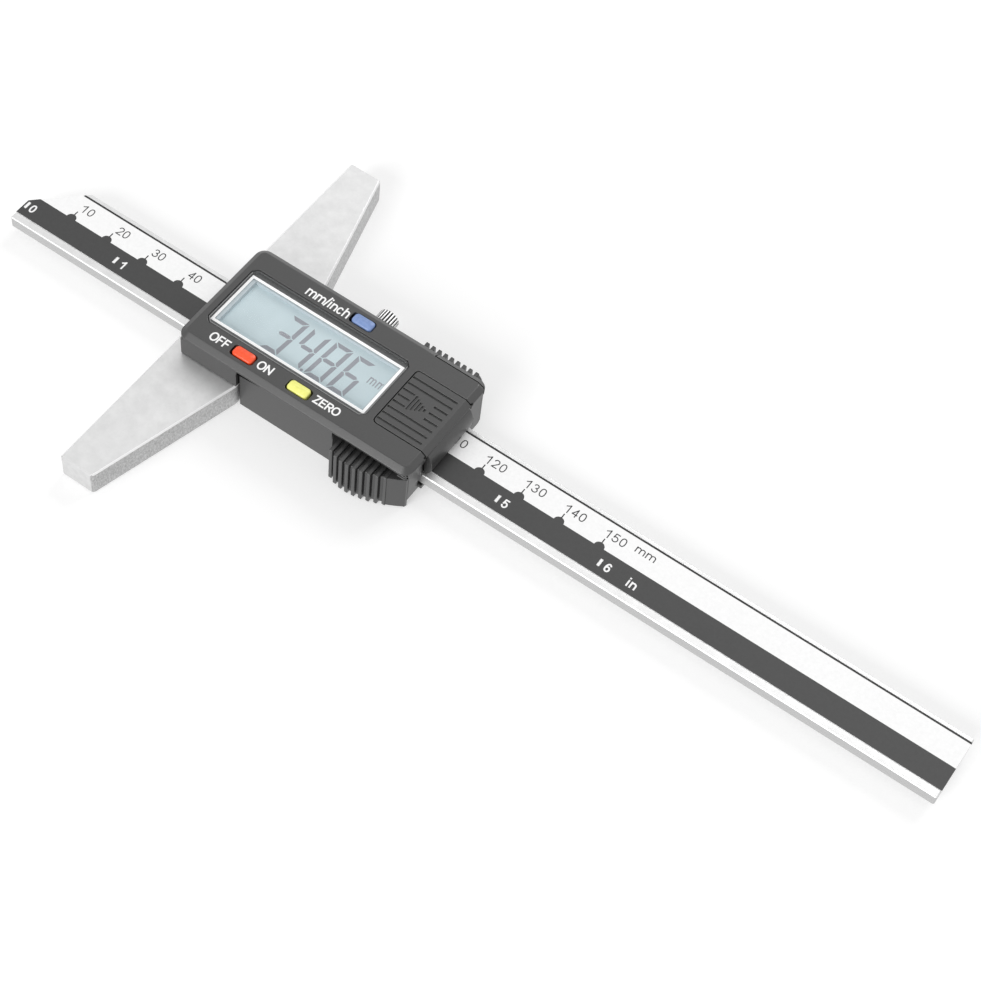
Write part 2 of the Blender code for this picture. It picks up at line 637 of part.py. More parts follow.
def make_stop_screw():
    """A pan-headed screw whose slot faces down."""
    length = STOP_HEAD_HEIGHT + STOP_SHANK_LENGTH
    profile = [
        (0, length),
        (STOP_SHANK_RADIUS, length),
        (STOP_SHANK_RADIUS, STOP_HEAD_HEIGHT),
        (STOP_HEAD_RADIUS, STOP_HEAD_HEIGHT),
        (STOP_HEAD_RADIUS, STOP_SLOT_DEPTH),
        (STOP_HEAD_RADIUS - STOP_SLOT_DEPTH, 0),
        (0, 0),
    ]
    foot = STOP_SCREW_BOTTOM
    screw = turned("beam_stop_screw", profile, (stop_screw_x(), 0, foot), "Z", SCREW_STEEL)
    slot = box(
        "stop_screw_slot",
        (stop_screw_x() - STOP_HEAD_RADIUS - OVERRUN, -STOP_SLOT_WIDTH / 2, foot - OVERRUN),
        (stop_screw_x() + STOP_HEAD_RADIUS + OVERRUN, STOP_SLOT_WIDTH / 2, foot + STOP_SLOT_DEPTH),
    )
    cut(screw, slot)


# The base: a tapered bar with a channel for the beam and a rebate for the frame
def make_base():
    outline = [
        (back(0), -BASE_HALF_LENGTH),
        (back(BASE_TIP_WIDTH), -BASE_HALF_LENGTH),
        (back(BASE_MIDDLE_WIDTH), -BASE_MIDDLE_HALF_LENGTH),
        (back(BASE_MIDDLE_WIDTH), BASE_MIDDLE_HALF_LENGTH),
        (back(BASE_TIP_WIDTH), BASE_HALF_LENGTH),
        (back(0), BASE_HALF_LENGTH),
    ]
    base = prism("base", outline, 0, BASE_THICKNESS, "Z", HARDENED_STEEL)
    chamfer(base, BASE_CHAMFER)
    beyond = back(BASE_MIDDLE_WIDTH) + OVERRUN
    channel = box(
        "beam_channel",
        (back(0) - OVERRUN, -GUIDE_EDGE, BEAM_BOTTOM - RUNNING_GAP),
        (beyond, GUIDE_EDGE, BASE_THICKNESS + OVERRUN),
    )
    board_pocket = box(
        "board_pocket",
        (back(BOARD_BACK - SEAM), -FRAME_HALF_WIDTH - FIT, BOARD_BOTTOM - FIT),
        (beyond, FRAME_HALF_WIDTH + FIT, BASE_THICKNESS + OVERRUN),
    )
    frame_rebate = box(
        "frame_rebate",
        (back(FRAME_BACK - FIT), -FRAME_HALF_WIDTH - FIT, -OVERRUN),
        (beyond, FRAME_HALF_WIDTH + FIT, FRAME_TOP + SEAM),
    )
    holes = [
        cylinder(
            "base_screw_hole",
            SCREW_SHANK_RADIUS + THREAD_CLEARANCE,
            (back(BASE_SCREW_BACK), side, 0),
            BASE_SCREW_HOLE_TOP,
        )
        for side in both_sides(BASE_SCREW_SIDE)
    ]
    cut(base, channel, board_pocket, frame_rebate, *holes)


# The frame that the bar slides through, with the gib strip and its screws
def screw_seat(name, x, y):
    """The cutter for a countersunk screw through the frame plate: its shank's hole and its head's cone."""
    hole_radius = SCREW_SHANK_RADIUS + THREAD_CLEARANCE
    head_radius = SCREW_HEAD_RADIUS + THREAD_CLEARANCE
    profile = [
        (0, OVERRUN + FRAME_THICKNESS + OVERRUN),
        (hole_radius, OVERRUN + FRAME_THICKNESS + OVERRUN),
        (hole_radius, OVERRUN + SCREW_HEAD_HEIGHT + THREAD_CLEARANCE),
        (head_radius, OVERRUN + THREAD_CLEARANCE),
        (head_radius, 0),
        (0, 0),
    ]
    return turned(name, profile, (x, y, FRAME_LIFT - OVERRUN), "Z", None)


def shell_screw_places():
    return [
        (back(distance), y)
        for distance, side in ((FRONT_BOSS_BACK, FRONT_BOSS_SIDE), (REAR_BOSS_BACK, REAR_BOSS_SIDE))
        for y in both_sides(side)
    ]


def base_screw_places():
    return [(back(BASE_SCREW_BACK), y) for y in both_sides(BASE_SCREW_SIDE)]


def board_screw_places():
    """One over each rail, on its middle."""
    near = -GUIDE_EDGE - RAIL_THICKNESS / 2
    far = FAR_RAIL_SIDE + RAIL_THICKNESS / 2
    return [(back(BOARD_SCREW_BACK), near), (back(BOARD_SCREW_BACK), far)]


def make_frame():
    low = (back(FRAME_BACK), -FRAME_HALF_WIDTH)
    high = (back(FRAME_END_BACK), FRAME_HALF_WIDTH)
    frame = prism("slider_frame", rounded(low, high, FRAME_CORNER), FRAME_LIFT, FRAME_TOP, "Z", FRAME_STEEL)
    rail_ends = (back(RAIL_BACK), back(RAIL_BACK + RAIL_LENGTH))
    rail_foot = FRAME_TOP - FRAME_THICKNESS / 2
    near_rail = box(
        "near_rail",
        (rail_ends[0], -GUIDE_EDGE - RAIL_THICKNESS, rail_foot),
        (rail_ends[1], -GUIDE_EDGE, RAIL_TOP),
    )
    far_rail = box(
        "far_rail",
        (rail_ends[0], FAR_RAIL_SIDE, rail_foot),
        (rail_ends[1], FAR_RAIL_SIDE + RAIL_THICKNESS, RAIL_TOP),
    )
    join(frame, near_rail, far_rail)
    for number, (x, y) in enumerate(base_screw_places() + shell_screw_places()):
        cut(frame, screw_seat(f"frame_screw_{number}", x, y))
    across = RAIL_THICKNESS + 2 * OVERRUN
    far_start = FAR_RAIL_SIDE - OVERRUN
    lock_hole_radius = LOCK_SHANK_RADIUS + THREAD_CLEARANCE
    cut(frame, cylinder("rail_lock_hole", lock_hole_radius, (back(LOCK_BACK), far_start, LOCK_HEIGHT), across, "Y"))
    gib_hole_radius = GIB_SCREW_RADIUS + THREAD_CLEARANCE
    for distance in GIB_SCREW_BACKS:
        cut(frame, cylinder("gib_screw_hole", gib_hole_radius, (back(distance), far_start, LOCK_HEIGHT), across, "Y"))
    for x, y in board_screw_places():
        depth = BOARD_SCREW_REACH + THREAD_CLEARANCE
        bore = BOARD_SCREW_SHANK_RADIUS + THREAD_CLEARANCE
        cut(frame, cylinder("board_screw_hole", bore, (x, y, RAIL_TOP - depth), depth + OVERRUN))


def make_gib():
    low_edge = FRAME_TOP + FIT
    gib = box(
        "gib_strip",
        (back(RAIL_BACK + GIB_END_GAP), GUIDE_EDGE, low_edge),
        (back(RAIL_BACK + RAIL_LENGTH - GIB_END_GAP), GIB_OUTSIDE, low_edge + GIB_HEIGHT),
        BRASS,
    )
    pad_hole = cylinder(
        "gib_pad_hole",
        PAD_RADIUS + THREAD_CLEARANCE,
        (back(LOCK_BACK), GUIDE_EDGE - OVERRUN, LOCK_HEIGHT),
        GIB_THICKNESS + 2 * OVERRUN,
        "Y",
    )
    cut(gib, pad_hole)
    start = GIB_OUTSIDE + PART_SEAT
    for number, distance in enumerate(GIB_SCREW_BACKS, 1):
        profile = [
            (0, GIB_SCREW_LENGTH),
            (GIB_SCREW_RADIUS, GIB_SCREW_LENGTH),
            (GIB_SCREW_RADIUS, GIB_SCREW_RADIUS / 2),
            (GIB_SCREW_RADIUS / 2, 0),
            (0, 0),
        ]
        turned(f"gib_screw_{number}", profile, (back(distance), start, LOCK_HEIGHT), "Y", SCREW_STEEL)


# The lock: a fluted screw that presses a brass pad against the bar's edge
def make_lock():
    pad_start = BEAM_EDGE + PAD_PLAY
    cylinder(
        "lock_pad",
        PAD_RADIUS,
        (back(LOCK_BACK), pad_start, LOCK_HEIGHT),
        LOCK_SHANK_START - FIT - pad_start,
        "Y",
        BRASS,
    )
    head = LOCK_HEAD_START - LOCK_SHANK_START
    end = head + LOCK_HEAD_LENGTH
    profile = [
        (0, end),
        (LOCK_HEAD_RADIUS - LOCK_HEAD_CHAMFER, end),
        (LOCK_HEAD_RADIUS, end - LOCK_HEAD_CHAMFER),
        (LOCK_HEAD_RADIUS, head + LOCK_HEAD_CHAMFER),
        (LOCK_HEAD_RADIUS - LOCK_HEAD_CHAMFER, head),
        (LOCK_SHANK_RADIUS, head),
        (LOCK_SHANK_RADIUS, 0),
        (0, 0),
    ]
    place = (back(LOCK_BACK), LOCK_SHANK_START, LOCK_HEIGHT)
    screw = turned("lock_screw", profile, place, "Y", SCREW_STEEL, 2 * LOCK_FLUTES)
    flutes = bmesh.new()
    for number in range(LOCK_FLUTES):
        turn = Matrix.Rotation(math.tau * number / LOCK_FLUTES, 4, "Z")
        out = Matrix.Translation((LOCK_HEAD_RADIUS + LOCK_FLUTE_DEPTH, 0, head + LOCK_HEAD_LENGTH / 2))
        bmesh.ops.create_cone(
            flutes,
            cap_ends=True,
            segments=4,
            radius1=2 * LOCK_FLUTE_DEPTH,
            radius2=2 * LOCK_FLUTE_DEPTH,
            depth=LOCK_HEAD_LENGTH + 2 * OVERRUN,
            matrix=turn @ out,
        )
    mesh = bpy.data.meshes.new("lock_flutes")
    flutes.to_mesh(mesh)
    flutes.free()
    cutter = add("lock_flutes", mesh)
    cutter.location = place
    cutter.rotation_euler = LAID["Y"]
    cut(screw, cutter)


# Countersunk screws from below, and the board's own screws
def countersunk_screw(name, x, y, reach):
    """Its head sits in the frame plate, its slot faces down and its shank goes this far past the plate."""
    foot = FRAME_LIFT + LAMINA_GAP
    length = FRAME_TOP - foot + reach
    profile = [
        (0, length),
        (SCREW_SHANK_RADIUS / 2, length),
        (SCREW_SHANK_RADIUS, length - SCREW_SHANK_RADIUS / 2),
        (SCREW_SHANK_RADIUS, SCREW_HEAD_HEIGHT),
        (SCREW_HEAD_RADIUS, LAMINA_GAP),
        (SCREW_HEAD_RADIUS, 0),
        (0, 0),
    ]
    screw = turned(name, profile, (x, y, foot), "Z", SCREW_STEEL)
    slot = box(
        name + "_slot",
        (x - SCREW_HEAD_RADIUS - OVERRUN, y - SCREW_SLOT_WIDTH / 2, foot - OVERRUN),
        (x + SCREW_HEAD_RADIUS + OVERRUN, y + SCREW_SLOT_WIDTH / 2, foot + SCREW_SLOT_DEPTH),
    )
    cut(screw, slot)


def make_screws():
    for number, (x, y) in enumerate(base_screw_places(), 1):
        countersunk_screw(f"base_screw_{number}", x, y, BASE_SCREW_REACH)
    for number, (x, y) in enumerate(shell_screw_places(), 1):
        boss_bottom = LEDGE_TOP + FIT
        countersunk_screw(f"shell_screw_{number}", x, y, boss_bottom - FRAME_TOP + SHELL_SCREW_REACH)
    for number, (x, y) in enumerate(board_screw_places(), 1):
        head_bottom = BOARD_TOP + LAMINA_GAP
        shank = head_bottom - (RAIL_TOP - BOARD_SCREW_REACH)
        profile = [
            (0, shank + BOARD_SCREW_HEAD_HEIGHT),
            (BOARD_SCREW_HEAD_RADIUS, shank + BOARD_SCREW_HEAD_HEIGHT),
            (BOARD_SCREW_HEAD_RADIUS, shank),
            (BOARD_SCREW_SHANK_RADIUS, shank),
            (BOARD_SCREW_SHANK_RADIUS, 0),
            (0, 0),
        ]
        turned(f"board_screw_{number}", profile, (x, y, head_bottom - shank), "Z", SCREW_STEEL)


# The lower casing: two side walls with ribbed grips, screw ledges and end walls beside the bar
def near_grip_side(distance):
    """How far out the near grip stands: a quarter ellipse up to its crest, then a slow fall to its end."""
    if distance < GRIP_CREST_BACK:
        share = max(0.0, 1 - ((GRIP_CREST_BACK - distance) / (GRIP_CREST_BACK - GRIP_BACK)) ** 2)
        return REAR_SHELL_HALF_WIDTH + NEAR_GRIP_REACH * math.sqrt(share)
    share = min(1.0, (distance - GRIP_CREST_BACK) / (GRIP_END_BACK - GRIP_CREST_BACK))
    return REAR_SHELL_HALF_WIDTH + NEAR_GRIP_REACH * (1 - share**FALL_POWER_SHARE)


def far_grip_side(distance):
    """How far out the far grip stands: level along its ribs, then a slow fall to its end."""
    last_rib = rib_backs()[-1]
    share = min(1.0, max(0.0, (distance - last_rib) / (GRIP_END_BACK - last_rib)))
    return REAR_SHELL_HALF_WIDTH + FAR_GRIP_REACH * (1 - share**FALL_POWER_SHARE)


def grip_outline(side_of, sign, start, end, inset):
    """Plan of a grip between two distances back, from inside the wall out to its outline less an inset."""
    root = (GRIP_CAVITY_HALF_WIDTH + GRIP_WALL_HALF_WIDTH) / 2
    steps = [start + (end - start) * step / GRIP_OUTLINE_STEPS for step in range(GRIP_OUTLINE_STEPS + 1)]
    outer = [(back(distance), sign * max(root + inset, side_of(distance) - inset)) for distance in steps]
    return [(back(start), sign * root)] + outer + [(back(end), sign * root)]


def rib_backs():
    return [FIRST_RIB_BACK + RIB_PITCH * number for number in range(RIBS)]


def make_grip(shell, name, side_of, sign, start, end):
    """A core with a row of upright ribs, and a smooth cheek behind the last of them."""
    last_rib = rib_backs()[-1]
    core = prism(
        name + "_core",
        grip_outline(side_of, sign, start, last_rib + RIB_PITCH / 2, RIB_DEPTH),
        GRIP_LIFT,
        RIB_TOP - RIB_DEPTH,
    )
    cheek = prism(
        name + "_cheek",
        grip_outline(side_of, sign, last_rib + RIB_THICKNESS / 4, end, RIB_DEPTH / 8),
        GRIP_LIFT,
        RIB_TOP - RIB_DEPTH / 4,
    )
    root = (GRIP_CAVITY_HALF_WIDTH + GRIP_WALL_HALF_WIDTH) / 2 + RIB_DEPTH / 4
    ribs = []
    for number, distance in enumerate(rib_backs()):
        across = sorted((sign * root, sign * side_of(distance)))
        low = (back(distance - RIB_THICKNESS / 2), across[0], GRIP_LIFT)
        high = (back(distance + RIB_THICKNESS / 2), across[1], RIB_TOP)
        ribs.append(box(f"{name}_rib_{number}", low, high))
    join(shell, core, cheek, *ribs)


def make_rear_shell():
    front, end = back(REAR_SHELL_BACK), back(CASING_END_BACK)
    side = REAR_SHELL_HALF_WIDTH
    outline = (
        [(front, side), (front, -side)]
        + arc((end - REAR_SHELL_CORNER, REAR_SHELL_CORNER - side), REAR_SHELL_CORNER, 3, 4)
        + arc((end - REAR_SHELL_CORNER, side - REAR_SHELL_CORNER), REAR_SHELL_CORNER, 0, 1)
    )
    shell = prism("rear_shell", outline, 0, REAR_SHELL_TOP, "Z", CASING_PLASTIC)
    upper_start, upper_end = back(GRIP_BACK + RIB_DEPTH / 2), back(rib_backs()[-1] + RIB_PITCH)
    for sign, edge in ((-1, "near"), (1, "far")):
        across = sorted((sign * GRIP_WALL_HALF_WIDTH, sign * (side + OVERRUN)))
        low = (upper_start, across[0], RIB_TOP - 2 * RIB_DEPTH)
        cut(shell, box(f"{edge}_upper_recess", low, (upper_end, across[1], REAR_SHELL_TOP + OVERRUN)))
    make_grip(shell, "near_grip", near_grip_side, -1, GRIP_BACK, GRIP_END_BACK)
    make_grip(shell, "far_grip", far_grip_side, 1, FAR_GRIP_BACK, GRIP_END_BACK)
    window_end = back(FRAME_END_BACK) + FIT
    inside_end = back(END_WALL_BACK)
    cavity = box(
        "rear_cavity",
        (front - OVERRUN, -CAVITY_HALF_WIDTH, LEDGE_BOTTOM - FIT),
        (back(GRIP_BACK - RIB_DEPTH), CAVITY_HALF_WIDTH, REAR_SHELL_TOP + OVERRUN),
    )
    grip_cavity = box(
        "rear_grip_cavity",
        (front - OVERRUN, -GRIP_CAVITY_HALF_WIDTH, LEDGE_BOTTOM - FIT),
        (inside_end, GRIP_CAVITY_HALF_WIDTH, REAR_SHELL_TOP + OVERRUN),
    )
    frame_window = box(
        "frame_window",
        (front - OVERRUN, -FRAME_HALF_WIDTH - FIT, -OVERRUN),
        (window_end, FRAME_HALF_WIDTH + FIT, LEDGE_BOTTOM),
    )
    bar_exit = box(
        "bar_exit",
        (inside_end - OVERRUN, -BEAM_EDGE - BAR_EXIT_GAP, STOP_SCREW_BOTTOM - RUNNING_GAP),
        (end + OVERRUN, BEAM_EDGE + BAR_EXIT_GAP, REAR_SHELL_TOP + OVERRUN),
    )
    block_end = back(FAR_BLOCK_END_BACK)
    block_notch = box(
        "far_block_notch",
        (front - OVERRUN, FRAME_HALF_WIDTH, BASE_THICKNESS - SEAM / 2),
        (block_end + FIT, side + OVERRUN, REAR_SHELL_TOP + OVERRUN),
    )
    cut(shell, cavity, grip_cavity, frame_window, bar_exit, block_notch)
    add_ledges(shell)
    cut(
        shell,
        cylinder(
            "wall_lock_hole",
            LOCK_SHANK_RADIUS + FIT,
            (back(LOCK_BACK), CAVITY_HALF_WIDTH - OVERRUN, LOCK_HEIGHT),
            side - CAVITY_HALF_WIDTH + 2 * OVERRUN,
            "Y",
        ),
        box(
            "near_end_recess",
            (end - END_RECESS_DEPTH, -BEAM_EDGE - BAR_EXIT_GAP - END_RECESS_WIDTH, -OVERRUN),
            (end + OVERRUN, -BEAM_EDGE, END_RECESS_TOP),
        ),
        box(
            "far_end_slot",
            (end - END_RECESS_DEPTH, END_SLOT_SIDE, END_SLOT_BOTTOM),
            (end + OVERRUN, END_SLOT_SIDE + END_SLOT_WIDTH, END_SLOT_BOTTOM + END_SLOT_HEIGHT),
        ),
    )


def add_ledges(shell):
    """The four ledges that the casing's bosses stand on, with their screw holes."""
    ledges = (
        ("front", FRONT_LEDGE_BACK, FRONT_LEDGE_LENGTH, FRONT_LEDGE_SIDE, CAVITY_HALF_WIDTH),
        ("rear", REAR_LEDGE_BACK, REAR_LEDGE_LENGTH, REAR_LEDGE_SIDE, GRIP_CAVITY_HALF_WIDTH),
    )
    into_wall = FIT
    for where, start, length, inner, outer in ledges:
        for sign, edge in ((-1, "near"), (1, "far")):
            across = sorted((sign * inner, sign * (outer + into_wall)))
            low = (back(start), across[0], LEDGE_BOTTOM)
            high = (back(start + length), across[1], LEDGE_TOP)
            join(shell, box(f"{where}_{edge}_ledge", low, high))
    for x, y in shell_screw_places():
        bore = SCREW_SHANK_RADIUS + THREAD_CLEARANCE
        cut(shell, cylinder("ledge_hole", bore, (x, y, LEDGE_BOTTOM - OVERRUN), LEDGE_THICKNESS + 2 * OVERRUN))


# The upper casing and the two covers that slide in it share one outline and one bevelled top
def lid_blank(name, finish=None):
    """A slab with round corners, a sloping edge round its top, and a thinner lip where it stands free."""
    low = (back(LID_BACK), -LID_HALF_WIDTH)
    high = (back(LID_BACK + LID_LENGTH), LID_HALF_WIDTH)
    shoulder = HEAD_TOP - LID_BEVEL_RISE
    blank = prism(name, rounded(low, high, LID_CORNER), LID_BOTTOM, shoulder, "Z", finish)
    shape = bmesh.new()
    shape.from_mesh(blank.data)
    shape.faces.ensure_lookup_table()
    top = max(shape.faces, key=lambda face: face.calc_center_median().z)
    bmesh.ops.inset_region(
        shape, faces=[top], thickness=LID_BEVEL_RUN, depth=LID_BEVEL_RISE, use_even_offset=True
    )
    shape.to_mesh(blank.data)
    shape.free()
    end = back(LID_END_BACK) + OVERRUN
    for sign, start in ((-1, NEAR_BLOCK_END_BACK), (1, FAR_BLOCK_END_BACK)):
        across = sorted((sign * REAR_SHELL_HALF_WIDTH, sign * (LID_HALF_WIDTH + OVERRUN)))
        low = (back(start) + SEAM, across[0], LID_BOTTOM - OVERRUN)
        cut(blank, box(name + "_lip_room", low, (end, across[1], HEAD_TOP - LIP_HEIGHT)))
    return blank


def cover_room(name, gap):
    """The room of the battery cover in the lid, or of the cover itself with a gap round it."""
    low = (back(COVER_BACK) + gap, gap - COVER_HALF_WIDTH)
    high = (back(LID_END_BACK) + 2 * OVERRUN, COVER_HALF_WIDTH - gap)
    bottom = COVER_BOTTOM if gap else COVER_FLOOR
    return prism(name, rounded(low, high, COVER_CORNER - gap), bottom, HEAD_TOP + OVERRUN)


def key_outline(distance, side, margin):
    half_length, half_width = KEY_LENGTH / 2 + margin, KEY_WIDTH / 2 + margin
    low = (back(distance) - half_length, side - half_width)
    high = (back(distance) + half_length, side + half_width)
    return rounded(low, high, KEY_CORNER + margin, 3)


def key_places():
    return (
        ("off_on_button", OFF_ON_BACK, -NEAR_KEY_SIDE, KEY_RED),
        ("zero_button", ZERO_BACK, -NEAR_KEY_SIDE, KEY_YELLOW),
        ("unit_button", UNIT_BACK, FAR_KEY_SIDE, KEY_BLUE),
    )


def lens_outline(margin):
    low = (back(LENS_BACK) - margin, -LENS_HALF_WIDTH - margin)
    high = (back(LENS_BACK + LENS_LENGTH) + margin, LENS_HALF_WIDTH + margin)
    return clipped(low, high, LENS_CORNER)


def add_casing_walls(shell):
    """The front wall with its tongue over the bar, the side walls over the base, and the end wall."""
    wall_bottom = BASE_THICKNESS + SEAM
    start, inside = back(FRONT_WALL_BACK), back(CAVITY_BACK)
    near_end = back(NEAR_BLOCK_END_BACK)
    far_end = back(FAR_BLOCK_END_BACK)
    tongue_half = GUIDE_EDGE - FIT
    floor_middle = (LID_BOTTOM + COVER_FLOOR) / 2
    walls = (
        ("front_wall", (start, -LID_HALF_WIDTH, wall_bottom), (inside, LID_HALF_WIDTH, CEILING + FIT)),
        ("front_tongue", (start, -tongue_half, BEAM_TOP + FIT), (inside, tongue_half, CEILING)),
        ("near_wall", (start, -LID_HALF_WIDTH, wall_bottom), (near_end, -CAVITY_HALF_WIDTH, CEILING + FIT)),
        ("far_wall", (start, CAVITY_HALF_WIDTH, wall_bottom), (far_end, LID_HALF_WIDTH, CEILING + FIT)),
        (
            "far_block",
            (back(FAR_BLOCK_BACK), CAVITY_HALF_WIDTH + SEAM, wall_bottom),
            (far_end - SEAM, FAR_BLOCK_HALF_WIDTH, LID_BOTTOM + SEAM),
        ),
        (
            "end_wall",
            (back(END_WALL_BACK), -BEAM_EDGE - BAR_EXIT_GAP + FIT, NOSE_BOTTOM),
            (back(END_WALL_BACK + END_WALL), BEAM_EDGE + BAR_EXIT_GAP - FIT, floor_middle),
        ),
    )
    join(shell, *[box(name, low, high) for name, low, high in walls])


def make_front_shell():
    shell = lid_blank("front_shell", CASING_PLASTIC)
    pocket_outside = POCKET_RADIUS + POCKET_WALL
    cavity_end = back(BATTERY_BACK) - pocket_outside - FIT
    cavity = box(
        "casing_cavity",
        (back(CAVITY_BACK), -CAVITY_HALF_WIDTH, LID_BOTTOM - OVERRUN),
        (cavity_end, CAVITY_HALF_WIDTH, CEILING),
    )
    cut(shell, cavity)
    add_casing_walls(shell)
    floor_middle = (LID_BOTTOM + COVER_FLOOR) / 2
    ring_bottom = BOARD_TOP + FIT
    ring = cylinder(
        "battery_ring",
        pocket_outside,
        (back(BATTERY_BACK), 0, ring_bottom),
        floor_middle - ring_bottom,
        sides=ROUND_SIDES,
    )
    boss_bottom = LEDGE_TOP + FIT
    bosses = [
        cylinder(f"boss_{number}", BOSS_RADIUS, (x, y, boss_bottom), CEILING + FIT - boss_bottom)
        for number, (x, y) in enumerate(shell_screw_places(), 1)
    ]
    join(shell, ring, *bosses)
    end = back(LID_END_BACK) + OVERRUN
    cutters = [
        cylinder("boss_bore", BOSS_BORE, (x, y, boss_bottom - OVERRUN), OVERRUN + SHELL_SCREW_REACH + FIT)
        for x, y in shell_screw_places()
    ]
    cutters += [
        prism("lens_recess", lens_outline(LAMINA_GAP + LAMINA_GAP), LENS_LEDGE, HEAD_TOP + OVERRUN),
        box(
            "display_opening",
            (back(LENS_BACK + DISPLAY_OPENING_MARGIN), -DISPLAY_OPENING_HALF_WIDTH, CEILING - OVERRUN),
            (
                back(LENS_BACK + LENS_LENGTH - DISPLAY_OPENING_MARGIN),
                DISPLAY_OPENING_HALF_WIDTH,
                LENS_LEDGE + OVERRUN / 2,
            ),
        ),
        cover_room("cover_room", 0),
        box(
            "cover_grooves",
            (
                back(COVER_BACK + TONGUE_FRONT) - SEAM,
                -COVER_HALF_WIDTH - TONGUE_REACH,
                COVER_BOTTOM - SEAM / 2,
            ),
            (end, COVER_HALF_WIDTH + TONGUE_REACH, COVER_BOTTOM + TONGUE_THICKNESS + SEAM / 2),
        ),
        box(
            "nose_room",
            (back(END_WALL_BACK + END_WALL), -COVER_HALF_WIDTH, LID_BOTTOM - OVERRUN),
            (end, COVER_HALF_WIDTH, COVER_FLOOR + OVERRUN / 2),
        ),
        cylinder(
            "battery_room",
            POCKET_RADIUS,
            (back(BATTERY_BACK), 0, BOARD_TOP),
            COVER_FLOOR + OVERRUN / 2 - BOARD_TOP,
            sides=ROUND_SIDES,
        ),
        box(
            "port_cover_room",
            (back(PORT_COVER_BACK), PORT_COVER_SIDE, LID_BOTTOM - OVERRUN),
            (end, LID_HALF_WIDTH + OVERRUN, HEAD_TOP + OVERRUN),
        ),
        box(
            "port_cover_groove",
            (
                back(PORT_COVER_BACK + TONGUE_FRONT) - SEAM,
                PORT_COVER_SIDE - TONGUE_REACH,
                PORT_TONGUE_HEIGHT - TONGUE_THICKNESS / 2 - SEAM / 2,
            ),
            (end, PORT_COVER_SIDE + OVERRUN, PORT_TONGUE_HEIGHT + TONGUE_THICKNESS / 2 + SEAM / 2),
        ),
    ]
    for name, distance, side, _ in key_places():
        hole = key_outline(distance, side, SEAM)
        cutters.append(prism(name + "_hole", hole, CEILING - OVERRUN, HEAD_TOP + OVERRUN))
    cut(shell, *cutters)


# The battery cover: a plate with tongues, finger grooves, an arrow and a nose over the casing's end
def make_battery_cover():
    cover = lid_blank("battery_cover", CASING_PLASTIC)
    keep_inside(cover, cover_room("cover_size", SEAM))
    nose_x = back(NOSE_INSIDE_BACK)
    nose_outline = (
        arc((nose_x, NOSE_CREST), (NOSE_BULGE, NOSE_CREST - NOSE_BOTTOM), 3, 4)
        + arc((nose_x, NOSE_CREST), (NOSE_BULGE, NOSE_TOP - NOSE_CREST), 0, 1)[1:]
    )
    nose = prism("nose", nose_outline, -NOSE_HALF_WIDTH, NOSE_HALF_WIDTH, "Y")
    tongue = box(
        "cover_tongues",
        (back(COVER_BACK + TONGUE_FRONT), SEAM / 2 - COVER_HALF_WIDTH - TONGUE_REACH, COVER_BOTTOM),
        (
            back(END_WALL_BACK),
            COVER_HALF_WIDTH + TONGUE_REACH - SEAM / 2,
            COVER_BOTTOM + TONGUE_THICKNESS,
        ),
    )
    join(cover, nose, tongue)
    groove_bottom = HEAD_TOP - COVER_GROOVE_DEPTH
    start = back(COVER_BACK + COVER_GROOVE_START)
    end = back(LID_END_BACK - COVER_GROOVE_END) - LID_BEVEL_RUN / 2
    arrow_start, arrow_end = back(ARROW_BACK), back(ARROW_BACK + ARROW_LENGTH)
    cutters = []
    for number in range(COVER_GROOVES):
        y = COVER_GROOVES_SIDE + COVER_GROOVE_PITCH * (number - (COVER_GROOVES - 1) / 2)
        stretches = [(start, end)]
        if abs(y - ARROW_SIDE) < ARROW_HALF_WIDTH:
            stretches = [(start, arrow_start - COVER_GROOVE_WIDTH), (arrow_end + COVER_GROOVE_WIDTH, end)]
        for x0, x1 in stretches:
            low = (x0, y - COVER_GROOVE_WIDTH / 2, groove_bottom)
            cutters.append(box(f"finger_groove_{number}", low, (x1, y + COVER_GROOVE_WIDTH / 2, HEAD_TOP + OVERRUN)))
    pitch = ARROW_LENGTH / ARROW_RIDGES
    for number in range(ARROW_RIDGES):
        x = arrow_start + pitch * number
        half = ARROW_HALF_WIDTH * (1 - number / ARROW_RIDGES)
        low = (x, ARROW_SIDE - half, groove_bottom)
        high = (x + pitch * ARROW_RIDGE_SHARE, ARROW_SIDE + half, HEAD_TOP + OVERRUN)
        cutters.append(box(f"arrow_{number}", low, high))
    cut(cover, *cutters)


# The strip that slides off the data port
def make_port_cover():
    cover = lid_blank("port_cover", CASING_PLASTIC)
    limit = box(
        "port_cover_size",
        (back(PORT_COVER_BACK) + SEAM, PORT_COVER_SIDE + SEAM, LID_BOTTOM - OVERRUN),
        (back(LID_END_BACK) + OVERRUN, LID_HALF_WIDTH + OVERRUN, HEAD_TOP + OVERRUN),
    )
    keep_inside(cover, limit)
    tongue = box(
        "port_cover_tongue",
        (
            back(PORT_COVER_BACK + TONGUE_FRONT),
            PORT_COVER_SIDE - TONGUE_REACH + SEAM / 2,
            PORT_TONGUE_HEIGHT - TONGUE_THICKNESS / 2,
        ),
        (
            back(END_WALL_BACK),
            PORT_COVER_SIDE + SEAM + TONGUE_REACH,
            PORT_TONGUE_HEIGHT + TONGUE_THICKNESS / 2,
        ),
    )
    join(cover, tongue)


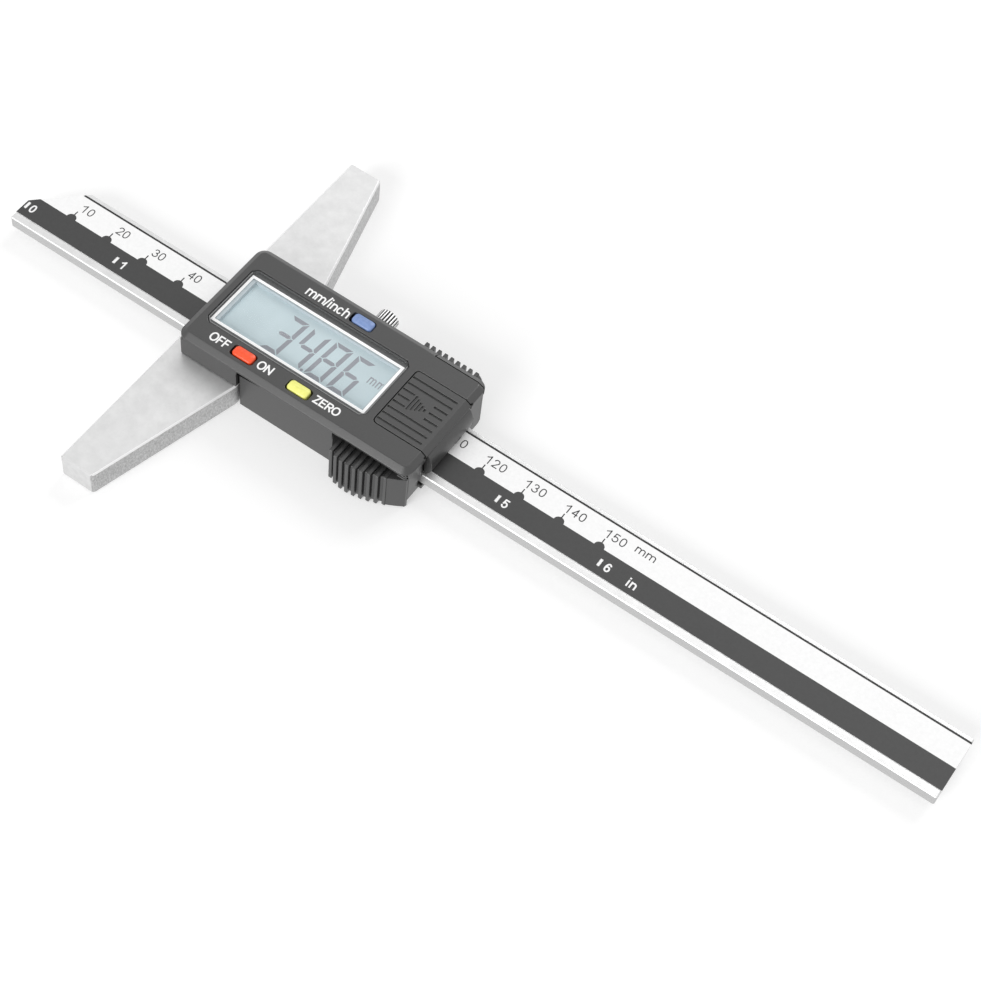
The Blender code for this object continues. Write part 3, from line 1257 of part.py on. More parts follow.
# Window and display
def make_window():
    lens_bottom = LENS_LEDGE + LAMINA_GAP
    prism("window_lens", lens_outline(0), lens_bottom, LENS_TOP, "Z", CLEAR_ACRYLIC)
    glass_start = back(LENS_BACK + DISPLAY_OPENING_MARGIN - DISPLAY_MARGIN)
    glass_end = back(LENS_BACK + LENS_LENGTH - DISPLAY_OPENING_MARGIN + DISPLAY_MARGIN)
    glass_side = DISPLAY_OPENING_HALF_WIDTH + DISPLAY_MARGIN
    box(
        "lcd_glass",
        (glass_start, -glass_side, DISPLAY_BOTTOM),
        (glass_end, glass_side, DISPLAY_TOP),
        DISPLAY_GLASS,
    )
    for sign, edge in ((-1, "near"), (1, "far")):
        across = sorted((sign * glass_side, sign * (glass_side - CONDUCTOR_WIDTH)))
        box(
            f"display_strip_{edge}",
            (glass_start + CONDUCTOR_END, across[0], BOARD_TOP + PART_SEAT),
            (glass_end - CONDUCTOR_END, across[1], DISPLAY_BOTTOM - PART_SEAT),
            CONDUCTIVE_RUBBER,
        )


# The keys and the rubber domes under them
def make_keys():
    for name, distance, side, finish in key_places():
        key = prism(name, key_outline(distance, side, 0), KEY_BOTTOM, HEAD_TOP + KEY_STAND, "Z", finish)
        chamfer(key, KEY_CROWN, 2)
        half_length = KEY_LENGTH / 2 + KEY_FLANGE_OUT
        half_width = KEY_WIDTH / 2 + KEY_FLANGE_SIDE
        flange = box(
            name + "_flange",
            (back(distance) - half_length, side - half_width, KEY_BOTTOM),
            (back(distance) + half_length, side + half_width, KEY_FLANGE_TOP),
        )
        join(key, flange)


def make_keypad(name, sign, side, distances):
    """A rubber mat with a dome under each key, notched for the boss that stands through it."""
    out = KEY_LENGTH / 2 + KEY_FLANGE_OUT
    across = sorted((sign * KEYPAD_INSIDE, sign * (side + KEY_WIDTH / 2 + KEY_FLANGE_SIDE)))
    bottom = BOARD_TOP + PART_SEAT
    top = bottom + KEYPAD_THICKNESS
    mat = box(
        name,
        (back(distances[0]) - out, across[0], bottom),
        (back(distances[-1]) + out, across[1], top),
        SILICONE,
    )
    foot = top - KEYPAD_THICKNESS / 2
    domes = [
        cylinder(
            name + "_dome",
            DOME_FOOT_RADIUS,
            (back(distance), sign * side, foot),
            KEY_BOTTOM - KEY_TRAVEL - KEY_SPARE - foot,
            top_radius=DOME_TOP_RADIUS,
        )
        for distance in distances
    ]
    join(mat, *domes)
    if len(distances) > 1:
        notch = cylinder(
            name + "_notch",
            BOSS_RADIUS + BOARD_NOTCH_GAP,
            (back(FRONT_BOSS_BACK), sign * FRONT_BOSS_SIDE, bottom - OVERRUN),
            KEYPAD_THICKNESS + 2 * OVERRUN,
        )
        cut(mat, notch)


# The circuit board and what stands on it
def make_circuit():
    wide_end = back(GRIP_BACK - RIB_DEPTH) - FIT
    start, end = back(BOARD_BACK), back(BOARD_BACK + BOARD_LENGTH)
    narrow = GRIP_CAVITY_HALF_WIDTH - FIT
    outline = [
        (start, -FRAME_HALF_WIDTH),
        (wide_end, -FRAME_HALF_WIDTH),
        (wide_end, -narrow),
        (end, -narrow),
        (end, narrow),
        (wide_end, narrow),
        (wide_end, FRAME_HALF_WIDTH),
        (start, FRAME_HALF_WIDTH),
    ]
    board = prism("circuit_board", outline, BOARD_BOTTOM, BOARD_TOP, "Z", BOARD_LAMINATE)
    through = BOARD_THICKNESS + 2 * OVERRUN
    for x, y in shell_screw_places():
        notch_radius = BOSS_RADIUS + BOARD_NOTCH_GAP
        cut(board, cylinder("boss_notch", notch_radius, (x, y, BOARD_BOTTOM - OVERRUN), through))
    for x, y in board_screw_places():
        bore = BOARD_SCREW_SHANK_RADIUS + THREAD_CLEARANCE
        cut(board, cylinder("board_hole", bore, (x, y, BOARD_BOTTOM - OVERRUN), through))
    seat = BOARD_TOP + PART_SEAT
    chip = box(
        "reader_chip",
        (back(CHIP_BACK), -CHIP_WIDTH / 2, seat),
        (back(CHIP_BACK + CHIP_LENGTH), CHIP_WIDTH / 2, seat + CHIP_HEIGHT),
        CHIP_RESIN,
    )
    chamfer(chip, CHIP_HEIGHT / 4)
    cylinder(
        "clock_crystal",
        CRYSTAL_RADIUS,
        (back(CRYSTAL_BACK), 0, seat + CRYSTAL_RADIUS),
        CRYSTAL_LENGTH,
        "X",
        SPRING_STEEL,
    )


# The battery and its contacts
def make_battery():
    middle = back(BATTERY_BACK)
    profile = [
        (0, BATTERY_HEIGHT),
        (BATTERY_RADIUS - BATTERY_RIM, BATTERY_HEIGHT),
        (BATTERY_RADIUS, BATTERY_HEIGHT - BATTERY_RIM / 2),
        (BATTERY_RADIUS, BATTERY_RIM),
        (BATTERY_RADIUS - BATTERY_RIM, BATTERY_RIM),
        (BATTERY_RADIUS - BATTERY_RIM, 0),
        (0, 0),
    ]
    turned("battery", profile, (middle, 0, BATTERY_BOTTOM), "Z", BATTERY_STEEL, ROUND_SIDES)
    seat = BOARD_TOP + PART_SEAT
    cylinder(
        "battery_contact_minus",
        MINUS_CONTACT_RADIUS,
        (middle, 0, seat),
        CONTACT_THICKNESS,
        finish=SPRING_STEEL,
    )
    inner = BATTERY_RADIUS + PART_SEAT
    box(
        "battery_contact_plus",
        (middle - CONTACT_WIDTH / 2, inner, seat),
        (middle + CONTACT_WIDTH / 2, inner + CONTACT_THICKNESS, seat + PLUS_CONTACT_HEIGHT),
        SPRING_STEEL,
    )


make_beam()
make_scale()
make_stop_screw()
make_base()
make_frame()
make_gib()
make_lock()
make_screws()
make_rear_shell()
make_front_shell()
make_battery_cover()
make_port_cover()
make_window()
make_keys()
make_keypad("keypad_near", -1, NEAR_KEY_SIDE, (OFF_ON_BACK, ZERO_BACK))
make_keypad("keypad_far", 1, FAR_KEY_SIDE, (UNIT_BACK,))
make_circuit()
make_battery()
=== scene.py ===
import math

import bmesh
import bpy
import numpy as np
from mathutils import Matrix, Vector


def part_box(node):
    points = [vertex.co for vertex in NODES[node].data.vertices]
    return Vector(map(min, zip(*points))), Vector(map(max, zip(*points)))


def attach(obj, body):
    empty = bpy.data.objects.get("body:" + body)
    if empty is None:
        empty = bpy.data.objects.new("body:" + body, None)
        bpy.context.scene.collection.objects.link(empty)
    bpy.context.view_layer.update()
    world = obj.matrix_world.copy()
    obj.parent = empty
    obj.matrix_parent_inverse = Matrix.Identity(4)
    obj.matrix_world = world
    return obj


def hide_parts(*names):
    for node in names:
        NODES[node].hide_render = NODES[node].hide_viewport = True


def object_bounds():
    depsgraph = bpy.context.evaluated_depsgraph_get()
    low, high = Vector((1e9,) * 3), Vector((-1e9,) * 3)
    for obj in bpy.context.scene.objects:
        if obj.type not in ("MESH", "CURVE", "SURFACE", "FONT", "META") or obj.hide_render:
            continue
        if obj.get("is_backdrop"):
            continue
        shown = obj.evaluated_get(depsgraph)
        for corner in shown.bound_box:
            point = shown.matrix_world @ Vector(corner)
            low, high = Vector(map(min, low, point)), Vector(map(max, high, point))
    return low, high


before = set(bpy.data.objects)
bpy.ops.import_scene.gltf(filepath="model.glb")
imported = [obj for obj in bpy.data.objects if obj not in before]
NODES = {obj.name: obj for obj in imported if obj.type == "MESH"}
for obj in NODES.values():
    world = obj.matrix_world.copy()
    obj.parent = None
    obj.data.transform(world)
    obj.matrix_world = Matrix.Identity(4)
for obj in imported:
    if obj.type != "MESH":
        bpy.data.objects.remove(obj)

CAD_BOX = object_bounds()
MM = 0.001


# Stage: a plain pale floor that takes the gauge's soft shadow, in a white room with two soft boxes. The
# camera looks down across the bar from its near right, with a long lens.
CAMERA_PLACE = Vector((0.123416, -0.225764, 0.391984))
CAMERA_FORWARD = Vector((-0.25050, 0.48414, -0.83837))
CAMERA_ROLL = 8.507  # degrees
FOCAL_SHARE = 2221.4609 / 981  # focal length over the width of the frame
SENSOR = 36.0
CLIPPING = (0.01, 20.0)  # nearest and farthest that the camera sees
ROOM_LIGHT = 0.52  # of the white room on matt surfaces
FLOOR_REACH = 0.8
FLOOR_SHADE = 0.66
FLOOR_LIFT = 0.42  # white added where the camera looks at the floor


def linear(level):
    """The linear value of an 8-bit display level, by the display's own transfer curve."""
    share = level / 255
    return share / 12.92 if share <= 0.04045 else ((share + 0.055) / 1.055) ** 2.4


def rgba(levels):
    """A colour from three display levels, or a grey from one."""
    levels = levels if isinstance(levels, tuple) else (levels,) * 3
    return (*[linear(level) for level in levels], 1.0)


def light_the_room():
    """A room that is white to the camera, in mirrors and through glass, and lights matt surfaces less."""
    world = bpy.data.worlds.new("white_room")
    bpy.context.scene.world = world
    world.use_nodes = True
    nodes, links = world.node_tree.nodes, world.node_tree.links
    nodes.clear()
    path = nodes.new("ShaderNodeLightPath")
    seen = path.outputs["Is Camera Ray"]
    for kind in ("Is Glossy Ray", "Is Transmission Ray"):
        either = nodes.new("ShaderNodeMath")
        either.operation = "MAXIMUM"
        links.new(seen, either.inputs[0])
        links.new(path.outputs[kind], either.inputs[1])
        seen = either.outputs[0]
    room, white = nodes.new("ShaderNodeBackground"), nodes.new("ShaderNodeBackground")
    room.inputs["Strength"].default_value = ROOM_LIGHT
    white.inputs["Strength"].default_value = 1.0
    room.inputs["Color"].default_value = white.inputs["Color"].default_value = (1, 1, 1, 1)
    mix, out = nodes.new("ShaderNodeMixShader"), nodes.new("ShaderNodeOutputWorld")
    links.new(seen, mix.inputs[0])
    links.new(room.outputs[0], mix.inputs[1])
    links.new(white.outputs[0], mix.inputs[2])
    links.new(mix.outputs[0], out.inputs[0])


def soft_box(name, place, aim, size, watts):
    """A square area lamp that looks at a point of the gauge."""
    lamp = bpy.data.lights.new(name, "AREA")
    lamp.energy = watts
    lamp.shape = "SQUARE"
    lamp.size = size
    made = bpy.data.objects.new(name, lamp)
    bpy.context.scene.collection.objects.link(made)
    made.location = place
    made.rotation_euler = (Vector(aim) - Vector(place)).to_track_quat("-Z", "Y").to_euler()


def lay_floor():
    """A wide sheet just under the gauge. It is white to the eye, and darkens where the gauge shades it."""
    mesh = bpy.data.meshes.new("floor")
    corners = [(x * FLOOR_REACH, y * FLOOR_REACH, CAD_BOX[0].z)
               for x, y in ((-1, -1), (1, -1), (1, 1), (-1, 1))]
    mesh.from_pydata(corners, [], [(0, 1, 2, 3)])
    floor = bpy.data.objects.new("floor", mesh)
    bpy.context.scene.collection.objects.link(floor)
    paper = bpy.data.materials.new("floor_paper")
    paper.use_nodes = True
    nodes, links = paper.node_tree.nodes, paper.node_tree.links
    nodes.clear()
    path = nodes.new("ShaderNodeLightPath")
    matt, glow, plain = [nodes.new("ShaderNode" + kind) for kind in ("BsdfDiffuse", "Emission", "Emission")]
    matt.inputs["Color"].default_value = (FLOOR_SHADE, FLOOR_SHADE, FLOOR_SHADE, 1)
    lift = nodes.new("ShaderNodeMath")
    lift.operation = "MULTIPLY"
    lift.inputs[1].default_value = FLOOR_LIFT
    links.new(path.outputs["Is Camera Ray"], lift.inputs[0])
    links.new(lift.outputs[0], glow.inputs["Strength"])
    both, mirrored = nodes.new("ShaderNodeAddShader"), nodes.new("ShaderNodeMixShader")
    links.new(matt.outputs[0], both.inputs[0])
    links.new(glow.outputs[0], both.inputs[1])
    links.new(path.outputs["Is Glossy Ray"], mirrored.inputs[0])
    links.new(both.outputs[0], mirrored.inputs[1])
    links.new(plain.outputs[0], mirrored.inputs[2])
    links.new(mirrored.outputs[0], nodes.new("ShaderNodeOutputMaterial").inputs[0])
    mesh.materials.append(paper)
    floor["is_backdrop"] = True


def set_camera():
    """Place, aim, roll and lens were worked out from the printed scale and the base's edges."""
    data = bpy.data.cameras.new("camera")
    data.sensor_width = SENSOR
    data.lens = FOCAL_SHARE * SENSOR
    data.clip_start, data.clip_end = CLIPPING
    camera = bpy.data.objects.new("camera", data)
    bpy.context.scene.collection.objects.link(camera)
    camera.location = CAMERA_PLACE
    level = CAMERA_FORWARD.to_track_quat("-Z", "Y").to_matrix()
    camera.rotation_euler = (level @ Matrix.Rotation(math.radians(CAMERA_ROLL), 3, "Z")).to_euler()
    bpy.context.scene.camera = camera


bpy.context.scene.view_settings.view_transform = "Standard"
light_the_room()
soft_box("far_box", (0.2, 2.05, 1.45), aim=(0, 0, 0), size=1.5, watts=25.0)
soft_box("near_box", (-0.25, -2.20, 1.10), aim=(0, 0, 0), size=1.4, watts=41.0)
lay_floor()
set_camera()


# Base: one ground steel plate that tapers to both ends. The two large faces are surface-ground and bright;
# the long sides are milled, so they look rougher, and their darker colour is partly painted shade. Along the
# long edges the chamfers carry a painted highlight in near-white matt steel. The ends and their chamfers are
# a lighter matt copy of the steel, painted as lit. Its measuring face stands towards the bar's tip.
# The milled sides' darker levels are partly painted shade.
GROUND, MILLED_SHADED = (211, 222), (166, 212)  # display levels between which each finish varies
# the painted highlight on the long chamfers, and the ends' lighter matt steel, painted as lit
EDGE_HIGHLIGHT, LIT_END = (246, 254), (202, 214)
EDGE_BREAK = 0.16 * MM  # of the rounding on steel edges
LEVEL_RISE = 0.7  # a face whose normal rises more than this counts as level
CHAMFER_RISE = (0.6, 0.8)  # between which the normals of the plate's broken edges rise
END_TURN = 0.9  # a face whose normal runs along the plate by more than this is an end
MERGED, FLATTENED = 0.002 * MM, math.radians(0.5)  # gaps and angles that a copy of a solid leaves out
TOOL_MARKS = {"detail": 6.0, "rough": 0.68}
MARK_STOPS = (0.34, 0.66)  # of the noise, where bare metal has its low and its high colour


def finish(name, metallic=0.0, roughness=0.5, specular=0.5):
    """An opaque material with its Principled shader, its nodes and its links."""
    made = bpy.data.materials.new(name)
    made.use_nodes = True
    nodes, links = made.node_tree.nodes, made.node_tree.links
    shader = nodes["Principled BSDF"]
    shader.inputs["Metallic"].default_value = metallic
    shader.inputs["Roughness"].default_value = roughness
    shader.inputs["Specular IOR Level"].default_value = specular
    return made, nodes, links, shader


def noise(nodes, links, size, stretch=(1, 1, 1), detail=3.0, rough=0.55):
    """Cloud noise in the piece's own coordinates, with lumps about as wide as size, drawn out by stretch."""
    place = nodes.new("ShaderNodeTexCoord")
    scaled = nodes.new("ShaderNodeMapping")
    scaled.inputs["Scale"].default_value = [1 / (size * share) for share in stretch]
    cloud = nodes.new("ShaderNodeTexNoise")
    cloud.inputs["Scale"].default_value = 1.0
    cloud.inputs["Detail"].default_value = detail
    cloud.inputs["Roughness"].default_value = rough
    links.new(place.outputs["Object"], scaled.inputs["Vector"])
    links.new(scaled.outputs["Vector"], cloud.inputs["Vector"])
    return cloud.outputs["Fac"]


def ramp(nodes, links, shader, source, places, levels):
    """The shader's base colour: it goes by the source from one display level to another."""
    made = nodes.new("ShaderNodeValToRGB")
    for element, place, level in zip(made.color_ramp.elements, places, levels):
        element.position = place
        element.color = rgba(level)
    links.new(source, made.inputs["Fac"])
    links.new(made.outputs["Color"], shader.inputs["Base Color"])


def bump(nodes, links, shader, source, height):
    """Raises the surface by height where the factor is 1."""
    made = nodes.new("ShaderNodeBump")
    made.inputs["Distance"].default_value = height
    links.new(source, made.inputs["Height"])
    links.new(made.outputs["Normal"], shader.inputs["Normal"])


def metal(name, low, high, size, roughness, stretch=(1, 1, 1), depth=0.004 * MM, metallic=0.75):
    """Bare metal that varies between two display levels, with fine tool marks drawn out by stretch."""
    made, nodes, links, shader = finish(name, metallic, roughness)
    marks = noise(nodes, links, size, stretch, **TOOL_MARKS)
    ramp(nodes, links, shader, marks, MARK_STOPS, (low, high))
    bump(nodes, links, shader, marks, depth)
    return made


def whole_copy(node, name):
    """A copy of a CAD solid with its loose triangles merged into whole faces."""
    shape = bmesh.new()
    shape.from_mesh(NODES[node].data)
    bmesh.ops.remove_doubles(shape, verts=shape.verts, dist=MERGED)
    bmesh.ops.dissolve_limit(shape, angle_limit=FLATTENED, verts=shape.verts, edges=shape.edges)
    mesh = bpy.data.meshes.new(name)
    shape.to_mesh(mesh)
    shape.free()
    made = bpy.data.objects.new(name, mesh)
    bpy.context.scene.collection.objects.link(made)
    return made


def soften(piece, width, steps=3, sharp=18.0):
    """Rounds the sharp edges and shades the rest smoothly, with the large faces kept flat."""
    rounding = piece.modifiers.new("edges", "BEVEL")
    rounding.width = width
    rounding.segments = steps
    rounding.limit_method = "ANGLE"
    rounding.angle_limit = math.radians(sharp)
    rounding.use_clamp_overlap = False
    rounding.harden_normals = True
    piece.data.shade_smooth()
    flattening = piece.modifiers.new("flat_faces", "WEIGHTED_NORMAL")
    flattening.mode = "FACE_AREA"
    flattening.weight = 100


def dress(piece, slot, *finishes):
    """Gives a new piece its materials. Its slot is not used."""
    for made in finishes:
        piece.data.materials.append(made)


def stand_in(node, name, body, width, slot, *finishes):
    """A softened copy that takes a CAD node's place. A second finish goes on the faces that stand upright."""
    piece = whole_copy(node, name)
    if len(finishes) > 1:
        for face in piece.data.polygons:
            face.material_index = 0 if abs(face.normal.z) > LEVEL_RISE else 1
    soften(piece, width)
    dress(piece, slot, *finishes)
    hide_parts(node)
    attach(piece, body)
    return piece


ground_steel = metal("ground_steel", *GROUND, size=3.5 * MM, roughness=0.42)
# The milled sides are rougher, and their darker colour is partly painted shade.
milled_shaded_steel = metal("milled_shaded_steel", *MILLED_SHADED, size=0.4 * MM, roughness=0.5, stretch=(1, 1, 1.6),
                     depth=0.015 * MM)
# Painted highlight: the long chamfers take a near-white matt steel.
painted_edge_highlight = metal("painted_edge_highlight", *EDGE_HIGHLIGHT, size=0.5 * MM, roughness=0.6, metallic=0.0)
# The ends and their chamfers are a lighter matt copy of the steel, painted as lit.
lit_end_steel = metal("lit_end_steel", *LIT_END, size=1.5 * MM, roughness=0.6, metallic=0.0)
plate = stand_in("base", "base_plate", "head", EDGE_BREAK, "base_steel", ground_steel, milled_shaded_steel,
                 painted_edge_highlight, lit_end_steel)
# The long chamfers take the painted highlight; the ends and their chamfers take the lighter steel, painted as
# lit.
for face in plate.data.polygons:
    across, along, up = (abs(part) for part in face.normal)
    if CHAMFER_RISE[0] < up < CHAMFER_RISE[1]:
        face.material_index = 2 if across > along else 3
    elif along > END_TURN:
        face.material_index = 3


# Slider frame: a milled steel channel that carries the bar. Two small screws press a brass strip against
# the bar's far edge to take up the play, and two countersunk screws hold the base under the channel.
CHANNEL_EDGE, BRASS_EDGE, SCREW_EDGE = 0.06 * MM, 0.05 * MM, 0.04 * MM

channel_steel = metal("channel_steel", 150, 186, size=1.2 * MM, roughness=0.45, stretch=(4, 1, 1),
                      depth=0.01 * MM)
stand_in("slider_frame", "slide_channel", "head", CHANNEL_EDGE, "frame_steel", channel_steel)
bearing_brass = metal("bearing_brass", (178, 142, 66), (206, 172, 96), size=0.8 * MM, roughness=0.4,
                      stretch=(5, 1, 1))
stand_in("gib_strip", "wear_strip", "head", BRASS_EDGE, "brass", bearing_brass)
screw_steel = metal("screw_steel", 120, 176, size=0.4 * MM, roughness=0.4)
for node in [name for name in NODES if "_screw" in name and name not in ("lock_screw", "beam_stop_screw")]:
    stand_in(node, node + "_turned", "head", SCREW_EDGE, "screws", screw_steel)


# Lock: a steel thumb screw with a straight-fluted head, turned in one piece with its threaded shank. It
# goes in from the far side and pushes a small brass pad against the bar.
LOCK_AXIS = (81.1 * MM, 3.65 * MM)  # back from the zero mark, and above the bench
THREAD_START, THREAD_PITCH, THREAD_DEPTH = 10.1 * MM, 0.5 * MM, 0.16 * MM
THREAD_RADIUS = 1.5 * MM
HEAD_START, HEAD_END, HEAD_RADIUS = 15.5 * MM, 22.35 * MM, 2.5 * MM
HEAD_CHAMFER = 0.45 * MM
DISH_DEPTH = 0.2 * MM  # of the hollow in the head's end, with its rim, its edge and its middle as shares
DISH_RIM, DISH_EDGE, DISH_MIDDLE = 0.84, 0.76, 0.1  # of the end's radius
FLUTES, FLUTE_DEPTH = 20, 0.32 * MM
FLUTE_AT_FOOT, FLUTE_AT_SHOULDER = 0.3, 0.9  # shares of the depth on the head's chamfers
FLUTE_POINTS, PITCH_POINTS = 8, 8
DARK_DEPTH = 0.3  # share of a flute's depth past which its faces take the painted shade
SIDE_TURN = 0.3  # a face whose normal runs along the axis by less than this is on the head's side
ZERO = -116.65 * MM  # the printed zero, along X, as the bar lies


def mesh_piece(name, points, faces):
    """A new object whose mesh has these points and faces."""
    mesh = bpy.data.meshes.new(name)
    mesh.from_pydata(np.asarray(points).tolist(), [], [tuple(face) for face in faces])
    mesh.update()
    made = bpy.data.objects.new(name, mesh)
    bpy.context.scene.collection.objects.link(made)
    return made


def loft(name, rings):
    """Four-sided faces between each ring of points and the next, from the foot to the top. Rings run
    anticlockwise seen from the top, and the first and the last are closed by one face each."""
    rings = np.asarray(rings)
    index = np.arange(rings.shape[0] * rings.shape[1]).reshape(rings.shape[:2])
    after = np.roll(index, -1, 1)
    walls = np.stack((index[:-1], after[:-1], after[1:], index[1:]), -1).reshape(-1, 4)
    return mesh_piece(name, rings.reshape(-1, 3), [*walls.tolist(), index[0, ::-1], index[-1]])


def thumb_screw():
    """Radius by turn and distance along the axis. On the shank it falls by a triangle wave that climbs one
    pitch a turn. On the head it falls by the fourth power of a cosine, 20 times round, and not on the end."""
    turn = np.linspace(0, math.tau, FLUTES * FLUTE_POINTS, endpoint=False)
    along = np.arange(THREAD_START, HEAD_START - THREAD_PITCH / 2, THREAD_PITCH / PITCH_POINTS)
    wave = np.abs(((along[:, None] - THREAD_START) / THREAD_PITCH - turn / math.tau) % 1 * 2 - 1)
    shank = THREAD_RADIUS - THREAD_DEPTH * wave
    tip = np.clip((along - THREAD_START) / (2 * THREAD_PITCH), 0, 1)[:, None]
    shank = (THREAD_RADIUS - THREAD_DEPTH) * (1 - tip) + shank * tip
    foot, shoulder = HEAD_RADIUS - HEAD_CHAMFER, HEAD_RADIUS - HEAD_CHAMFER / 4
    profile = np.array([
        (HEAD_START, THREAD_RADIUS - THREAD_DEPTH, 0),
        (HEAD_START, foot, FLUTE_AT_FOOT),
        (HEAD_START + HEAD_CHAMFER / 2, shoulder, FLUTE_AT_SHOULDER),
        (HEAD_START + HEAD_CHAMFER, HEAD_RADIUS, 1),
        (HEAD_END - HEAD_CHAMFER, HEAD_RADIUS, 1),
        (HEAD_END - HEAD_CHAMFER / 2, shoulder, FLUTE_AT_SHOULDER),
        (HEAD_END, foot, FLUTE_AT_FOOT),
        (HEAD_END, foot * DISH_RIM, 0),
        (HEAD_END - DISH_DEPTH, foot * DISH_EDGE, 0),
        (HEAD_END - DISH_DEPTH, foot * DISH_MIDDLE, 0),
    ])
    groove = np.cos(turn * FLUTES / 2) ** 4
    head = profile[:, 1:2] - FLUTE_DEPTH * profile[:, 2:] * groove
    radius, along = np.concatenate((shank, head)), np.concatenate((along, profile[:, 0]))
    x = ZERO + LOCK_AXIS[0] + radius * np.sin(turn)
    z = LOCK_AXIS[1] + radius * np.cos(turn)
    return np.stack((x, np.broadcast_to(along[:, None], x.shape), z), -1)


lock_turned = loft("lock_turned", thumb_screw())
lock_turned.data.shade_smooth()
# Painted shade: the side faces deep in the head's flutes take a dark steel.
for face in lock_turned.data.polygons:
    x, y, z = face.center
    deep = math.hypot(x - ZERO - LOCK_AXIS[0], z - LOCK_AXIS[1]) < HEAD_RADIUS - DARK_DEPTH * FLUTE_DEPTH
    face.material_index = 1 if deep and abs(face.normal.y) < SIDE_TURN and y > HEAD_START else 0
lock_plate = metal("lock_plate", 206, 234, size=0.5 * MM, roughness=0.3, stretch=(1, 6, 1))
flute_shade = metal("flute_shade", 48, 80, size=0.4 * MM, roughness=0.5, stretch=(1, 5, 1), metallic=0.4)
dress(lock_turned, "lock_steel", lock_plate, flute_shade)
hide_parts("lock_screw")
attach(lock_turned, "lock")
stand_in("lock_pad", "pad_disc", "pad", BRASS_EDGE, "brass", bearing_brass)


# Bar: a ground steel blade with a scale laid in a shallow groove along it. A printed film covers the
# scale's copper strip: white, with a dark lower half for the inches that rises in a dome at each 10 mm.
SHEET_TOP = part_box("scale_label")[1].z
SHEET_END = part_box("scale_label")[1].x
BLADE_EDGE = 0.08 * MM
INK = 0.012 * MM  # thickness of what is printed
CLOUD_STOPS = (0.3, 0.7)  # of the noise, where a coloured surface has its low and its high colour
FILM_LEVEL, BAND_LEVEL, LINE_LEVEL, NUMERAL_LEVEL = 250, 55, 2, 10
TIP = ZERO - 0.6 * MM
TIP_CUT = 0.98  # of the tip's cut corner: how far it goes back for each step across
TIP_CUT_FOOT = -2 * MM  # where the cut starts, across the bar
PRINT_NEAR, PRINT_SPLIT, PRINT_FAR = -6.05 * MM, -0.1 * MM, 6.9 * MM
LINE_WIDTH, LINE_SLANT = 0.44 * MM, 0.1 * MM
CENTIMETRE, CENTIMETRES = 10 * MM, range(1, 16)
DOME = 1.2 * MM  # radius of the rise at each mark
MARK_TOP, MARK_WIDTH = 2.2 * MM, 0.26 * MM
NUMERAL_FOOT, NUMERAL_WIDTH, NUMERAL_HEIGHT, NUMERAL_STROKE = 2.64 * MM, 1.38 * MM, 2.2 * MM, 0.24 * MM
NUMERAL_START = {2: 0.25 * MM, 3: -0.75 * MM}  # past the mark, by the count of numerals
NUMERAL_PITCH = {2: 1.6 * MM, 3: 1.79 * MM}
NARROW_ONE = 0.35 * MM  # how much narrower a 1 is than the other numerals
LEADING_ONE, LEADING_SHIFT = 0.15 * MM, 0.05 * MM  # how far the first of two numerals moves towards the mark
UNIT_PLACES, UNIT_FOOT, UNIT_WIDTH, UNIT_HEIGHT = (156.4, 158.95), 3.4 * MM, 2.2 * MM, 1.47 * MM
INCH, INCHES = 25.4 * MM, range(7)
INCH_MARK_FOOT, INCH_MARK_TOP, INCH_MARK_WIDTH = -4.15 * MM, -2.2 * MM, 0.7 * MM
INCH_MARK_ROUNDING = 0.09 * MM
INCH_MARK_SHIFT = 0.15 * MM  # of each mark towards the tip, and of the first one away from it
INCH_START, INCH_FOOT, INCH_WIDTH, INCH_HEIGHT = 1.15 * MM, -4.4 * MM, 1.35 * MM, 2.25 * MM
INCH_ONE_START, INCH_ONE_WIDTH, INCH_STROKE = 1.4 * MM, 1.0 * MM, 0.37 * MM
INCH_SIGN = [("i", 159.25, 0.37, 2.3), ("n", 160.0, 1.4, 1.65)]  # with place, width and height
INCH_SIGN_FOOT = -4.6 * MM
LEAST_MITRE = 0.6  # at sharper bends a pen stroke gets no wider
STROKE_STEPS = 20  # to a letter's thickness: each stroke lies one lower than the stroke before it


def coat(node, made):
    """Gives a CAD node that stays as it is its material."""
    for place in NODES[node].material_slots:
        place.material = made


def tone(nodes, links, shader, low, high, size, **grain):
    """Lets the base colour drift between two levels in clouds about as wide as size. Gives the clouds."""
    cloud = noise(nodes, links, size, **grain)
    ramp(nodes, links, shader, cloud, CLOUD_STOPS, (low, high))
    return cloud


def moulded(name, low, high, grain, roughness=0.6, depth=0.006 * MM, gloss=0.5):
    """Moulded plastic, rubber or resin that varies between two display levels, with a fine matt grain."""
    made, nodes, links, shader = finish(name, roughness=roughness, specular=gloss)
    bump(nodes, links, shader, tone(nodes, links, shader, low, high, grain), depth)
    return made


def ink(name, level, roughness=0.5, spread=2):
    """Printing ink, a little uneven in tone."""
    low, high = max(level - spread, 0), min(level + spread, 255)
    return moulded(name, low, high, grain=0.7 * MM, roughness=roughness, depth=0.002 * MM)


def slab(name, outlines, top, thickness):
    """Flat closed pieces. Each outline, which runs anticlockwise, stands at top and again a thickness
    below, and a wall joins the two."""
    points, faces, first = [], [], 0
    for outline in outlines:
        outline = np.asarray(outline)
        ring = np.arange(len(outline))
        upper, lower = first + ring, first + len(outline) + ring
        points += [np.column_stack((outline, np.full(len(outline), top - drop))) for drop in (0, thickness)]
        walls = np.column_stack((lower, np.roll(lower, -1), np.roll(upper, -1), upper))
        faces += [upper.tolist(), lower[::-1].tolist(), *walls.tolist()]
        first += 2 * len(outline)
    return mesh_piece(name, np.concatenate(points), faces)


